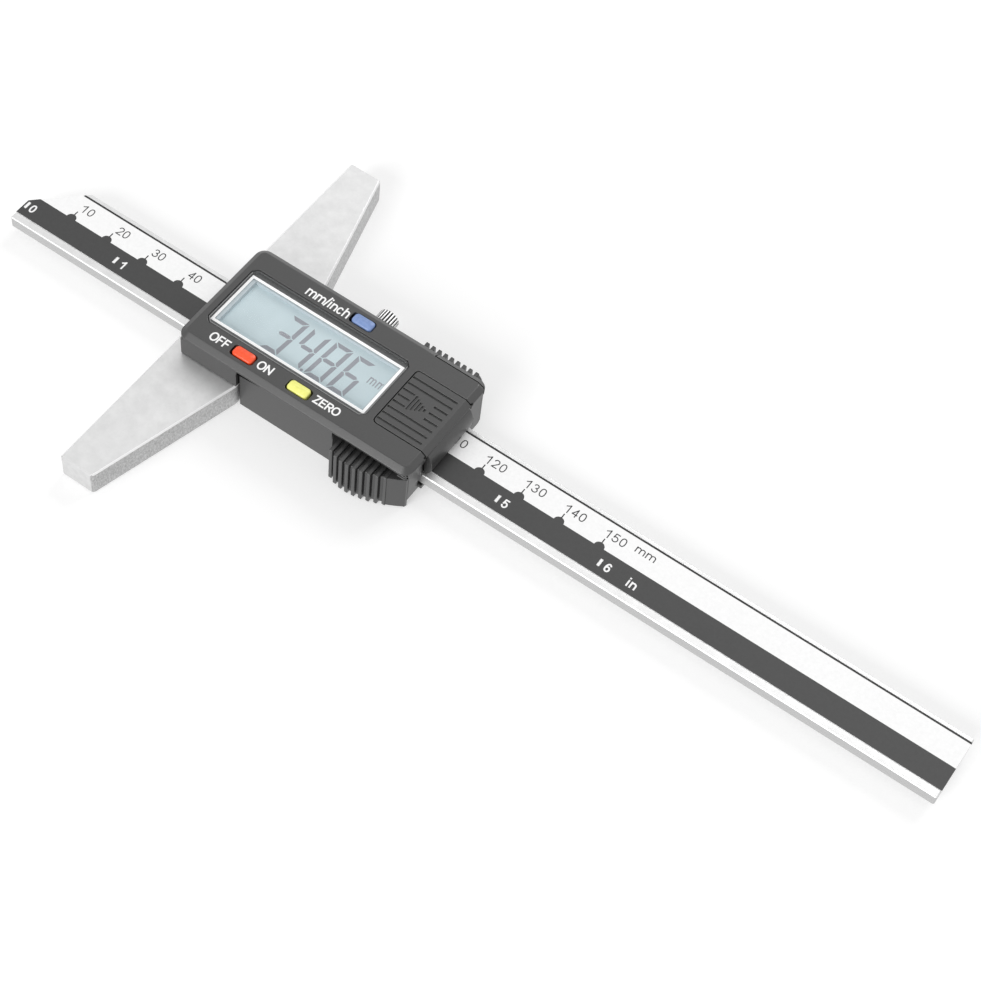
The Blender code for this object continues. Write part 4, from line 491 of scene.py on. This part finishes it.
def arc(x, y, across, up, start, end, power=1.0):
    """Points on an oval about (x, y), every 15 degrees from start to end. A power below 1 fills its
    corners."""
    turn = np.radians(np.linspace(start, end, int(abs(end - start) // 15) + 1))
    cosine, sine = np.cos(turn), np.sin(turn)
    return np.column_stack((x + across * np.sign(cosine) * np.abs(cosine) ** power,
                            y + up * np.sign(sine) * np.abs(sine) ** power))


def letter(sign):
    """The pen strokes of a letter or numeral in a box of 1 by 1. A closed stroke ends where it starts."""
    stem, right = [(0, 0), (0, 1)], [(1, 0), (1, 1)]
    bowl = np.vstack((arc(0.5, 0.3, 0.5, 0.3, 0, 345), (1.0, 0.3)))
    tail = arc(0.57, 0.41, 0.57, 0.59, 174, 52)
    arch = np.vstack((arc(0.5, 0.64, 0.5, 0.36, 165, 0), (1, 0)))
    strokes = {
        "0": [arc(0.5, 0.5, 0.5, 0.5, 0, 360, 0.86)],
        "1": [right, [(0, 0.73), (0.45, 0.83), (0.94, 0.99)]],
        "2": [np.vstack((arc(0.49, 0.72, 0.48, 0.28, 165, -30), (0.04, 0.02))), [(0, 0), (1, 0)]],
        "3": [arc(0.46, 0.76, 0.42, 0.24, 160, -80), arc(0.48, 0.27, 0.52, 0.27, 80, -160)],
        "4": [[(0.76, 0), (0.76, 1)], [(0.74, 0.97), (0.03, 0.31)], [(0, 0.29), (1, 0.29)]],
        "5": [[(0.92, 1), (0.18, 1), (0.08, 0.5)], arc(0.48, 0.32, 0.52, 0.32, 135, -155)],
        "6": [bowl, tail],
        "7": [[(0, 1), (1, 1)], [(0.98, 0.97), (0.7, 0.66), (0.48, 0.32), (0.38, 0)]],
        "8": [arc(0.5, 0.76, 0.43, 0.24, 0, 360), arc(0.5, 0.27, 0.5, 0.27, 0, 360)],
        "9": [1 - bowl, 1 - tail],
        "/": [[(0, 0), (1, 1)]],
        "c": [arc(0.5, 0.5, 0.5, 0.5, 48, 312)],
        "h": [stem, arch * (1, 0.74)],
        "i": [[(0.5, 0), (0.5, 0.66)], [(0.5, 0.985), (0.5, 1)]],
        "m": [stem, arch * (0.5, 1), arch * (0.5, 1) + (0.5, 0)],
        "n": [stem, arch],
        "E": [stem, [(0, 1), (1, 1)], [(0, 0.52), (0.92, 0.52)], [(0, 0), (1, 0)]],
        "F": [stem, [(0, 1), (1, 1)], [(0, 0.5), (0.9, 0.5)]],
        "N": [stem, right, [(0.06, 0.94), (0.94, 0.06)]],
        "O": [arc(0.5, 0.5, 0.5, 0.5, 0, 360, 0.94)],
        "R": [stem, np.vstack(((0, 1), arc(0.6, 0.745, 0.4, 0.255, 90, -90), (0, 0.49))),
              [(0.5, 0.45), (1, 0)]],
        "Z": [[(0, 1), (1, 1)], [(0.94, 0.94), (0.06, 0.06)], [(0, 0), (1, 0)]],
    }
    return [np.asarray(stroke, float) for stroke in strokes[sign]]


def ribbon(path, width, closed):
    """The two edges of a pen stroke: half the width to each side of the path, along the mitre at each bend.
    An open stroke goes on for half its width past both ends."""
    if closed:
        path = path[:-1]
    step = (np.roll(path, -1, 0) if closed else path[1:]) - (path if closed else path[:-1])
    step /= np.linalg.norm(step, axis=1)[:, None]
    if not closed:
        path = path + np.vstack((-step[:1], np.zeros((len(path) - 2, 2)), step[-1:])) * width / 2
    before = np.roll(step, 1, 0) if closed else np.vstack((step[:1], step))
    after = step if closed else np.vstack((step, step[-1:]))
    mitre = before + after
    mitre /= np.linalg.norm(mitre, axis=1)[:, None]
    reach = width / 2 / np.maximum(np.sum(mitre * after, 1), LEAST_MITRE)[:, None]
    left = np.column_stack((-mitre[:, 1], mitre[:, 0])) * reach
    return path + left, path - left


def lettering(name, words, top, thickness, width):
    """Closed flat letters with their upper faces at top, each stroke a hair below the one before it. A word
    is its signs with the left end, foot, width and height of each."""
    points, faces, first = [], [], 0
    for sign, x, y, across, up in words:
        for number, stroke in enumerate(letter(sign)):
            path = (x + width / 2, y + width / 2) + stroke * (max(across - width, 0), up - width)
            closed = bool(np.allclose(path[0], path[-1]))
            left, right = ribbon(path, width, closed)
            level, count = top - number * thickness / STROKE_STEPS, len(left)
            rings = np.stack([np.column_stack((edge, np.full(count, height)))
                              for edge, height in ((left, level), (right, level),
                                                   (right, level - thickness), (left, level - thickness))], 1)
            index = first + np.arange(count * 4).reshape(count, 4)
            this = index if closed else index[:-1]
            following = np.roll(index, -1, 0) if closed else index[1:]
            quads = np.stack((this, np.roll(this, -1, 1), np.roll(following, -1, 1), following), -1)
            faces += quads.reshape(-1, 4).tolist()
            if not closed:
                faces += [index[0, ::-1].tolist(), index[-1].tolist()]
            points.append(rings.reshape(-1, 3))
            first += count * 4
    return mesh_piece(name, np.concatenate(points), faces)


# Painted shade: the blade's upright sides take a darker steel than its top.
shaded_side_steel = metal("shaded_side_steel", 180, 206, size=0.4 * MM, roughness=0.42, stretch=(0.3, 1, 1))
stand_in("beam", "blade", "bar", BLADE_EDGE, "beam_steel", ground_steel, shaded_side_steel)
stand_in("beam_stop_screw", "stop_screw_turned", "bar", SCREW_EDGE, "screws", screw_steel)
scale_epoxy = moulded("scale_epoxy", (120, 116, 92), (142, 136, 110), grain=0.8 * MM, roughness=0.5)
coat("scale_board", scale_epoxy)
coat("scale_label", ink("film_white", FILM_LEVEL, roughness=0.4, spread=3))

half_dome = arc(0, 0, DOME, DOME, 0, 180)
split = [half_dome + (ZERO + tens * CENTIMETRE, PRINT_SPLIT) for tens in reversed(CENTIMETRES)]
band = np.vstack([[(TIP, PRINT_NEAR), (SHEET_END, PRINT_NEAR), (SHEET_END, PRINT_SPLIT)], *split,
                  [(TIP + TIP_CUT * (PRINT_SPLIT - TIP_CUT_FOOT), PRINT_SPLIT), (TIP, TIP_CUT_FOOT)]])
band_print = slab("band_print", [band], SHEET_TOP + INK, 2 * INK)
dress(band_print, "label", ink("band_ink", BAND_LEVEL, roughness=0.45))
line_start = TIP + TIP_CUT * (PRINT_FAR - TIP_CUT_FOOT)
line = [(line_start, PRINT_FAR - LINE_WIDTH), (SHEET_END, PRINT_FAR - LINE_WIDTH), (SHEET_END, PRINT_FAR),
        (line_start + LINE_SLANT, PRINT_FAR)]
line_print = slab("line_print", [line], SHEET_TOP + INK, 2 * INK)
dress(line_print, "label", ink("line_ink", LINE_LEVEL))


def upright_bar(middle, width, low, high):
    """A rectangle about x = middle, anticlockwise."""
    near, far = middle - width / 2, middle + width / 2
    return [(near, low), (far, low), (far, high), (near, high)]


numeral_ink = ink("numeral_ink", NUMERAL_LEVEL)
marks = [upright_bar(ZERO + tens * CENTIMETRE, MARK_WIDTH, PRINT_SPLIT + DOME, MARK_TOP)
         for tens in CENTIMETRES]
marks_print = slab("marks_print", marks, SHEET_TOP + 2 * INK, 3 * INK)
figures = []
for tens in CENTIMETRES:
    text = str(tens * 10)
    start = ZERO + tens * CENTIMETRE + NUMERAL_START[len(text)]
    for place, sign in enumerate(text):
        narrow = NARROW_ONE if sign == "1" else 0
        shift = 0
        if place == 0 and len(text) == 2:
            shift = LEADING_SHIFT + (LEADING_ONE if sign == "1" else 0)
        figures.append((sign, start - shift, NUMERAL_FOOT, NUMERAL_WIDTH - narrow, NUMERAL_HEIGHT))
        start += NUMERAL_PITCH[len(text)]
figures += [("m", ZERO + x * MM, UNIT_FOOT, UNIT_WIDTH, UNIT_HEIGHT) for x in UNIT_PLACES]
millimetre_print = lettering("millimetre_print", figures, SHEET_TOP + INK, 2 * INK, NUMERAL_STROKE)
for piece in (marks_print, millimetre_print):
    dress(piece, "label", numeral_ink)

marks = [upright_bar(ZERO + inches * INCH + (-INCH_MARK_SHIFT if inches else INCH_MARK_SHIFT),
                     INCH_MARK_WIDTH, INCH_MARK_FOOT, INCH_MARK_TOP) for inches in INCHES]
inch_marks = slab("inch_marks", marks, SHEET_TOP + 2 * INK, 3 * INK)
soften(inch_marks, INCH_MARK_ROUNDING, steps=2)
figures = []
for inches in INCHES:
    start, width = (INCH_ONE_START, INCH_ONE_WIDTH) if inches == 1 else (INCH_START, INCH_WIDTH)
    figures.append((str(inches), ZERO + inches * INCH + start, INCH_FOOT, width, INCH_HEIGHT))
figures += [(sign, ZERO + x * MM, INCH_SIGN_FOOT, across * MM, up * MM) for sign, x, across, up in INCH_SIGN]
inch_print = lettering("inch_print", figures, SHEET_TOP + 2 * INK, 3 * INK, INCH_STROKE)
light_ink = ink("light_ink", FILM_LEVEL, roughness=0.4, spread=3)
for piece in (inch_marks, inch_print):
    dress(piece, "label", light_ink)
for piece in (band_print, line_print, marks_print, millimetre_print, inch_marks, inch_print):
    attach(piece, "bar")


# Circuit: a green glass-fibre board over the bar, with the reading chip, a clock crystal and the spring
# contacts of a button cell. Its tracks are a fine pattern of bricks under the solder mask.
TRACK_SCALE, TRACK_WIDTH = 260.0, 0.035
TRACK_COLOURS = {"Color1": (58, 98, 60), "Color2": (64, 108, 66), "Mortar": (96, 136, 84)}
CHIP_EDGE, CAN_EDGE, CELL_EDGE = 0.05 * MM, 0.1 * MM, 0.2 * MM

board_green, nodes, links, shader = finish("board_green", roughness=0.45)
tracks = nodes.new("ShaderNodeTexBrick")
tracks.inputs["Scale"].default_value = TRACK_SCALE
tracks.inputs["Mortar Size"].default_value = TRACK_WIDTH
for socket, colour in TRACK_COLOURS.items():
    tracks.inputs[socket].default_value = rgba(colour)
place = nodes.new("ShaderNodeTexCoord")
links.new(place.outputs["Object"], tracks.inputs["Vector"])
links.new(tracks.outputs["Color"], shader.inputs["Base Color"])
bump(nodes, links, shader, tracks.outputs["Fac"], 0.02 * MM)
coat("circuit_board", board_green)
chip_resin = moulded("chip_resin", 26, 36, grain=0.2 * MM)
stand_in("reader_chip", "chip_body", "head", CHIP_EDGE, "chip", chip_resin)
bright_can = metal("bright_can", 196, 226, size=0.5 * MM, roughness=0.28, stretch=(3, 3, 1))
stand_in("clock_crystal", "crystal_can", "head", CAN_EDGE, "screws", bright_can)
stand_in("battery", "button_cell", "head", CELL_EDGE, "battery_steel", bright_can)
spring_steel = metal("spring_steel", 186, 216, size=0.6 * MM, roughness=0.3, stretch=(1, 1, 3))
for node in ("battery_contact_plus", "battery_contact_minus"):
    coat(node, spring_steel)


# Display: a glass cell that stands on two striped rubber strips. Its segments are dark grey-violet on pale
# grey-green, with the reading 34.86 and a small mm at the right end.
CELL_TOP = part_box("lcd_glass")[1].z
DIGIT_START, DIGIT_PITCH, DIGIT_WIDTH = 67.65 * MM, 5.8 * MM, 4.5 * MM
DIGIT_TOP, DIGIT_MIDDLE, DIGIT_FOOT = 4.95 * MM, -0.43 * MM, -5.85 * MM
SEGMENT, SEGMENT_GAP = 1.0 * MM, 0.2 * MM
SLANT = 0.085  # across for each step up
SEGMENTS = {"3": "abcdg", "4": "bcfg", "8": "abcdefg", "6": "acdefg"}
POINT_PLACE, POINT_HEIGHT, POINT_RADIUS = 77.65 * MM, -5.5 * MM, 0.34 * MM
SIGN_PLACES, SIGN_FOOT = (90.3, 92.4), 0.25 * MM
SIGN_WIDTH, SIGN_HEIGHT, SIGN_STROKE = 1.75 * MM, 1.8 * MM, 0.27 * MM
STRIPE_SCALE, STRIPE_STOPS, STRIPE_COLOURS = 1600.0, (0.4, 0.6), (34, (206, 150, 140))

cell_glass, nodes, links, shader = finish("cell_glass", roughness=0.3)
cloud = tone(nodes, links, shader, (197, 214, 219), (206, 223, 228), size=7 * MM, detail=2.0)
bump(nodes, links, shader, cloud, 0.004 * MM)
coat("lcd_glass", cell_glass)
strip_rubber, nodes, links, shader = finish("strip_rubber", roughness=0.7)
stripes = nodes.new("ShaderNodeTexWave")
stripes.inputs["Scale"].default_value = STRIPE_SCALE
place = nodes.new("ShaderNodeTexCoord")
links.new(place.outputs["Object"], stripes.inputs["Vector"])
ramp(nodes, links, shader, stripes.outputs["Fac"], STRIPE_STOPS, STRIPE_COLOURS)
for node in ("display_strip_near", "display_strip_far"):
    coat(node, strip_rubber)


def segment_outline(name):
    """One segment of a numeral, as a polygon about a cell that is DIGIT_WIDTH wide. Neighbours meet in a
    mitre with a narrow gap, and x falls by SLANT for each step down from the top."""
    near, far = (0, SEGMENT) if name in "ef" else (DIGIT_WIDTH, DIGIT_WIDTH - SEGMENT)
    end, way = (DIGIT_TOP, 1) if name in "abf" else (DIGIT_FOOT, -1)
    inset = SEGMENT + SEGMENT_GAP
    if name == "g":
        half = SEGMENT / 2
        points = [(inset - half, 0), (inset, -half), (DIGIT_WIDTH - inset, -half),
                  (DIGIT_WIDTH - inset + half, 0), (DIGIT_WIDTH - inset, half), (inset, half)]
        points = np.array(points) + (0, DIGIT_MIDDLE)
    elif name in "ad":
        points = np.array([(SEGMENT_GAP, end), (DIGIT_WIDTH - SEGMENT_GAP, end),
                           (DIGIT_WIDTH - inset, end - way * SEGMENT), (inset, end - way * SEGMENT)])
    else:
        start = DIGIT_MIDDLE + way * SEGMENT_GAP / 2
        points = np.array([(near, start), ((near + far) / 2, start), (far, start + way * inset / 2),
                           (far, end - way * inset), (near, end - way * SEGMENT_GAP)])
    points[:, 0] += SLANT * (points[:, 1] - DIGIT_TOP)
    after = np.roll(points, -1, 0)
    turn = np.sum(points[:, 0] * after[:, 1] - after[:, 0] * points[:, 1])
    return points if turn > 0 else points[::-1]


lit = [segment_outline(name) + (ZERO + DIGIT_START + place * DIGIT_PITCH, 0)
       for place, numeral in enumerate("3486") for name in SEGMENTS[numeral]]
lit.append(arc(ZERO + POINT_PLACE, POINT_HEIGHT, POINT_RADIUS, POINT_RADIUS, 0, 345))
reading = slab("reading", lit, CELL_TOP + INK, 2 * INK)
signs = [("m", ZERO + x * MM, SIGN_FOOT, SIGN_WIDTH, SIGN_HEIGHT) for x in SIGN_PLACES]
unit_sign = lettering("unit_sign", signs, CELL_TOP + INK, 2 * INK, SIGN_STROKE)
liquid_crystal = moulded("liquid_crystal", (140, 142, 150), (150, 152, 160), grain=2 * MM, roughness=0.35,
                         depth=0.001 * MM)
for piece in (reading, unit_sign):
    dress(piece, "display", liquid_crystal)
    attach(piece, "head")


# Keys: three satin plastic keys on dark rubber mats. Each has a foot under the casing that keeps it in, and
# a softly rounded top.
KEY_BOTTOM, KEY_TOP = 10.8 * MM, 14.3 * MM
KEY_LENGTH, KEY_WIDTH, KEY_CORNER = 5.1 * MM, 2.55 * MM, 0.78 * MM
FOOT_END, FOOT_SIDE, FOOT_THICKNESS = 0.7 * MM, 0.1 * MM, 0.6 * MM
KEY_ROUNDING, KEY_CROWN, KEY_EDGE = 0.5 * MM, 0.1 * MM, 0.05 * MM
SHOULDER_RINGS = 7
CROWN_SHARES = np.linspace(0.15, 0.8, 5)  # of the way in, at which the crown has its rings
KEYS = {
    "off_on": ("off_on_button", "key_red", 66.9, -11.06, (255, 82, 42), (255, 98, 56)),
    "zero": ("zero_button", "key_yellow", 81.2, -11.06, (244, 244, 128), (252, 252, 146)),
    "unit": ("unit_button", "key_blue", 81.55, 11.13, (118, 144, 196), (136, 160, 208)),
}


def rounded_ring(half_length, half_width, corner, height):
    """A rounded rectangle at one height: four quarter circles, each about its own corner's middle."""
    corner = min(corner, half_length, half_width)
    quarters = [arc(x * (half_length - corner), y * (half_width - corner), corner, corner, start, start + 90)
                for x, y, start in ((1, 1, 0), (-1, 1, 90), (-1, -1, 180), (1, -1, 270))]
    outline = np.concatenate(quarters)
    return np.column_stack((outline, np.full(len(outline), height)))


def key_cap(x, y):
    """Rounded rectangles up the side, then in over a quarter circle, then in to the middle while the height
    grows by the square of the way left."""
    half_length, half_width = KEY_LENGTH / 2, KEY_WIDTH / 2
    foot_top, shoulder = KEY_BOTTOM + FOOT_THICKNESS, KEY_TOP - KEY_CROWN - KEY_ROUNDING
    foot = [(FOOT_END, FOOT_SIDE, KEY_BOTTOM), (FOOT_END, FOOT_SIDE, foot_top), (0, 0, foot_top)]
    rings = [rounded_ring(half_length + out, half_width + side, KEY_CORNER, height)
             for out, side, height in foot]
    for turn in np.radians(np.linspace(0, 90, SHOULDER_RINGS)):
        inset = KEY_ROUNDING * (1 - math.cos(turn))
        rings.append(rounded_ring(half_length - inset, half_width - inset, KEY_CORNER,
                                  shoulder + KEY_ROUNDING * math.sin(turn)))
    flat = half_width - KEY_ROUNDING
    for share in CROWN_SHARES:
        inset = KEY_ROUNDING + flat * share
        rings.append(rounded_ring(half_length - inset, half_width - inset, KEY_CORNER,
                                  KEY_TOP - KEY_CROWN * (1 - share) ** 2))
    return np.array(rings) + (ZERO + x * MM, y * MM, 0)


for name, (node, slot, x, y, low, high) in KEYS.items():
    piece = loft(name + "_cap", key_cap(x, y))
    soften(piece, KEY_EDGE, steps=2, sharp=50.0)
    dress(piece, slot, moulded(name + "_plastic", low, high, grain=0.5 * MM, roughness=0.3, depth=0.002 * MM))
    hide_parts(node)
    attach(piece, name + "_key")
mat_rubber = moulded("mat_rubber", (62, 64, 66), (74, 76, 78), grain=0.3 * MM, roughness=0.75)
for node in ("keypad_near", "keypad_far"):
    coat(node, mat_rubber)


# Casing: two halves moulded in dark grey plastic with a fine matt grain, screwed together from below. A
# lid slides off the battery at the front, and a smaller one off the data socket.
CASING_ROUNDING, LID_ROUNDING = 0.15 * MM, 0.1 * MM

casing_grey = moulded("casing_grey", 45, 52, grain=0.22 * MM, roughness=0.38, depth=0.005 * MM, gloss=0.8)
stand_in("rear_shell", "lower_casing", "head", CASING_ROUNDING, "casing", casing_grey)
stand_in("front_shell", "upper_casing", "head", CASING_ROUNDING, "casing", casing_grey)
stand_in("battery_cover", "battery_lid_skin", "battery_lid", LID_ROUNDING, "casing", casing_grey)
stand_in("port_cover", "port_lid_skin", "port_lid", LID_ROUNDING, "casing", casing_grey)


# Window: a clear acrylic pane let into the casing's top. Its back is printed dark up to a white line
# round the display, and its edge is rounded. A painted highlight, a light grey strip on its top along its
# start, near side and end, stands for the light that the edge catches. A pale grey lining closes the gap
# between the pane and the display.
PANE_FOOT, PANE_TOP = 12.55 * MM, 13.62 * MM
PANE_START, PANE_END, PANE_SIDE = 54.52 * MM, 95.98 * MM, 8.78 * MM
PANE_CUT, PANE_ROUNDING, PANE_RINGS = 1.2 * MM, 0.22 * MM, 4
PANE_ALPHA = 0.05
PANE_LEVEL_RISE = 0.95  # a face of the pane whose normal rises more than this is clear
PRINT_HEIGHT = 12.86 * MM
FRAME_START, FRAME_END, FRAME_SIDE = 55.0 * MM, 95.1 * MM, 7.4 * MM
FRAME_WIDTH = 0.65 * MM
FRAME_GLOW = 0.12  # makes up for the light that the pane keeps from the white line
BORDER_GAP = 0.06 * MM  # from the pane's rounding to the dark print
GLINT_OUTER, GLINT_INNER = 0.3 * MM, 0.42 * MM  # insets of the painted highlight along three sides of the pane
GLINT_CORNERS = [6, 7, 0, 1, 2, 3]  # of the pane's ring: down its start, along its near side and up its end
LINING_OUTER = (55.3 * MM, 94.8 * MM, 7.1 * MM)  # start, end and side
LINING_INNER = (56.41 * MM, 94.09 * MM, 6.59 * MM)
LINING_TOP, LINING_FOOT, LINING_SKIN = 12.54 * MM, 11.53 * MM, 0.03 * MM


def pane_ring(inset, height):
    """The pane's outline, a rectangle with cut corners, drawn in by inset and put at one height."""
    start, end, side = PANE_START + inset, PANE_END - inset, PANE_SIDE - inset
    cut = PANE_CUT - inset * (2 - math.sqrt(2))
    points = [(start + cut, -side), (end - cut, -side), (end, cut - side), (end, side - cut),
              (end - cut, side), (start + cut, side), (start, side - cut), (start, cut - side)]
    return np.array([(ZERO + x, y, height) for x, y in points])


def frame_ring(inset, height):
    """The white line's outline, a rectangle drawn in by inset and put at one height."""
    start, end, side = FRAME_START + inset, FRAME_END - inset, FRAME_SIDE - inset
    points = [(start, -side), (end, -side), (end, side), (start, side)]
    return np.array([(ZERO + x, y, height) for x, y in points])


rounding = [(PANE_ROUNDING * (1 - math.cos(turn)), PANE_TOP - PANE_ROUNDING * (1 - math.sin(turn)))
            for turn in np.radians(np.linspace(0, 90, PANE_RINGS))]
pane = loft("pane", [pane_ring(0, PANE_FOOT)] + [pane_ring(inset, height) for inset, height in rounding])
for face in pane.data.polygons:
    face.material_index = 0 if abs(face.normal.z) > PANE_LEVEL_RISE else 1
pane.data.shade_smooth()
clear_acrylic, nodes, links, shader = finish("clear_acrylic", roughness=0.06)
tone(nodes, links, shader, (226, 232, 234), (236, 240, 242), size=4 * MM)
shader.inputs["Alpha"].default_value = PANE_ALPHA
cut_edge = moulded("cut_edge", 82, 92, grain=0.3 * MM, roughness=0.25, depth=0.002 * MM)
dress(pane, "window", clear_acrylic, cut_edge)
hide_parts("window_lens")


def flat_ring(name, outer, inner, top, thickness):
    """A flat closed band between two outlines of as many points."""
    count = len(outer)
    points = np.concatenate([ring[:, :2] for ring in (outer, outer, inner, inner)])
    heights = np.repeat([top, top - thickness, top, top - thickness], count)
    upper_out, lower_out, upper_in, lower_in = np.arange(4 * count).reshape(4, count)
    faces = []
    for this, that in ((lower_out, upper_out), (upper_out, upper_in), (upper_in, lower_in),
                       (lower_in, lower_out)):
        faces += np.column_stack((this, np.roll(this, -1), np.roll(that, -1), that)).tolist()
    return mesh_piece(name, np.column_stack((points, heights)), faces)


twice_each_corner = np.roll(np.repeat(frame_ring(FRAME_WIDTH / 2, 0), 2, axis=0), -1, axis=0)
border = flat_ring("window_border", pane_ring(PANE_ROUNDING + BORDER_GAP, 0), twice_each_corner,
                   PRINT_HEIGHT, INK)
dress(border, "window", moulded("border_ink", 66, 74, grain=0.5 * MM, roughness=0.4, depth=0.002 * MM))
white_line = flat_ring("window_frame", frame_ring(0, 0), frame_ring(FRAME_WIDTH, 0),
                       PRINT_HEIGHT + INK, 2 * INK)
frame_white, nodes, links, shader = finish("frame_white", roughness=0.4)
tone(nodes, links, shader, 250, 255, size=1.5 * MM)
shader.inputs["Emission Color"].default_value = rgba(255)
shader.inputs["Emission Strength"].default_value = FRAME_GLOW
dress(white_line, "window", frame_white)
# Painted highlight: a light grey strip on the pane's top, for the light that its edge catches.
glint = np.concatenate((pane_ring(GLINT_OUTER, 0)[GLINT_CORNERS],
                        pane_ring(GLINT_INNER, 0)[GLINT_CORNERS[::-1]]))
edge_glint = slab("pane_glint", [glint[:, :2]], PANE_TOP + INK, 2 * INK)
glint_grey = moulded("glint_grey", 146, 160, grain=0.5 * MM, roughness=0.3, depth=0.002 * MM)
dress(edge_glint, "window", glint_grey)


def lining(name, wide, narrow, high, low, skin):
    """A closed sleeve: flat from the wide rectangle in to the narrow one, then down its walls."""
    profile = [(wide, 0, high - skin), (wide, 0, high), (narrow, skin, high), (narrow, skin, low),
               (narrow, 0, low), (narrow, 0, high - skin)]
    points = []
    for (start, end, side), inset, height in profile:
        points += [(ZERO + x, y, height)
                   for x, y in ((start + inset, inset - side), (end - inset, inset - side),
                                (end - inset, side - inset), (start + inset, side - inset))]
    index = np.arange(len(points)).reshape(len(profile), 4)
    faces = []
    for this, that in zip(index, np.roll(index, -1, axis=0)):
        faces += np.column_stack((this, np.roll(this, -1), np.roll(that, -1), that)).tolist()
    return mesh_piece(name, points, faces)


gasket = lining("display_gasket", LINING_OUTER, LINING_INNER, LINING_TOP, LINING_FOOT, LINING_SKIN)
gasket_grey = moulded("gasket_grey", (186, 197, 202), (196, 207, 212), grain=0.6 * MM)
dress(gasket, "display", gasket_grey)
for piece in (pane, border, white_line, edge_glint, gasket):
    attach(piece, "head")


# Legends: the keys' names, printed in white ink on the casing's top beside each key. Each sign is drawn with
# the pen strokes that the scale's numerals have.
LEGEND_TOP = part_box("front_shell")[1].z + INK
LEGEND_STROKE, LEGEND_LEVEL = 0.37 * MM, 250
LEGENDS = [  # each sign with its left end, its foot, its width and its height in millimetres
    ("O", 58.15, -12.3, 1.9, 2.35), ("F", 60.12, -12.25, 1.3, 2.25), ("F", 61.66, -12.25, 1.3, 2.25),
    ("O", 70.55, -12.15, 1.9, 2.3), ("N", 72.52, -12.1, 1.7, 2.2),
    ("Z", 85.15, -11.95, 1.4, 2.12), ("E", 86.68, -11.95, 1.35, 2.12), ("R", 88.22, -11.95, 1.5, 2.12),
    ("O", 89.75, -12.0, 1.85, 2.2),
    ("m", 67.02, 9.6, 2.38, 1.85), ("m", 69.52, 9.6, 2.33, 1.85), ("/", 71.9, 9.45, 0.85, 2.95),
    ("i", 72.85, 9.6, 0.4, 2.55), ("n", 73.55, 9.6, 1.42, 1.85), ("c", 75.05, 9.55, 1.4, 1.95),
    ("h", 76.65, 9.6, 1.42, 2.55),
]

legends = lettering("legends", [(sign, ZERO + x * MM, y * MM, across * MM, up * MM)
                                for sign, x, y, across, up in LEGENDS], LEGEND_TOP, 2 * INK, LEGEND_STROKE)
dress(legends, "label", ink("legend_white", LEGEND_LEVEL, roughness=0.4))
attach(legends, "head")


# Sizes: the box round the CAD's solids and the box round the dressed pieces, in metres.
low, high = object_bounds()
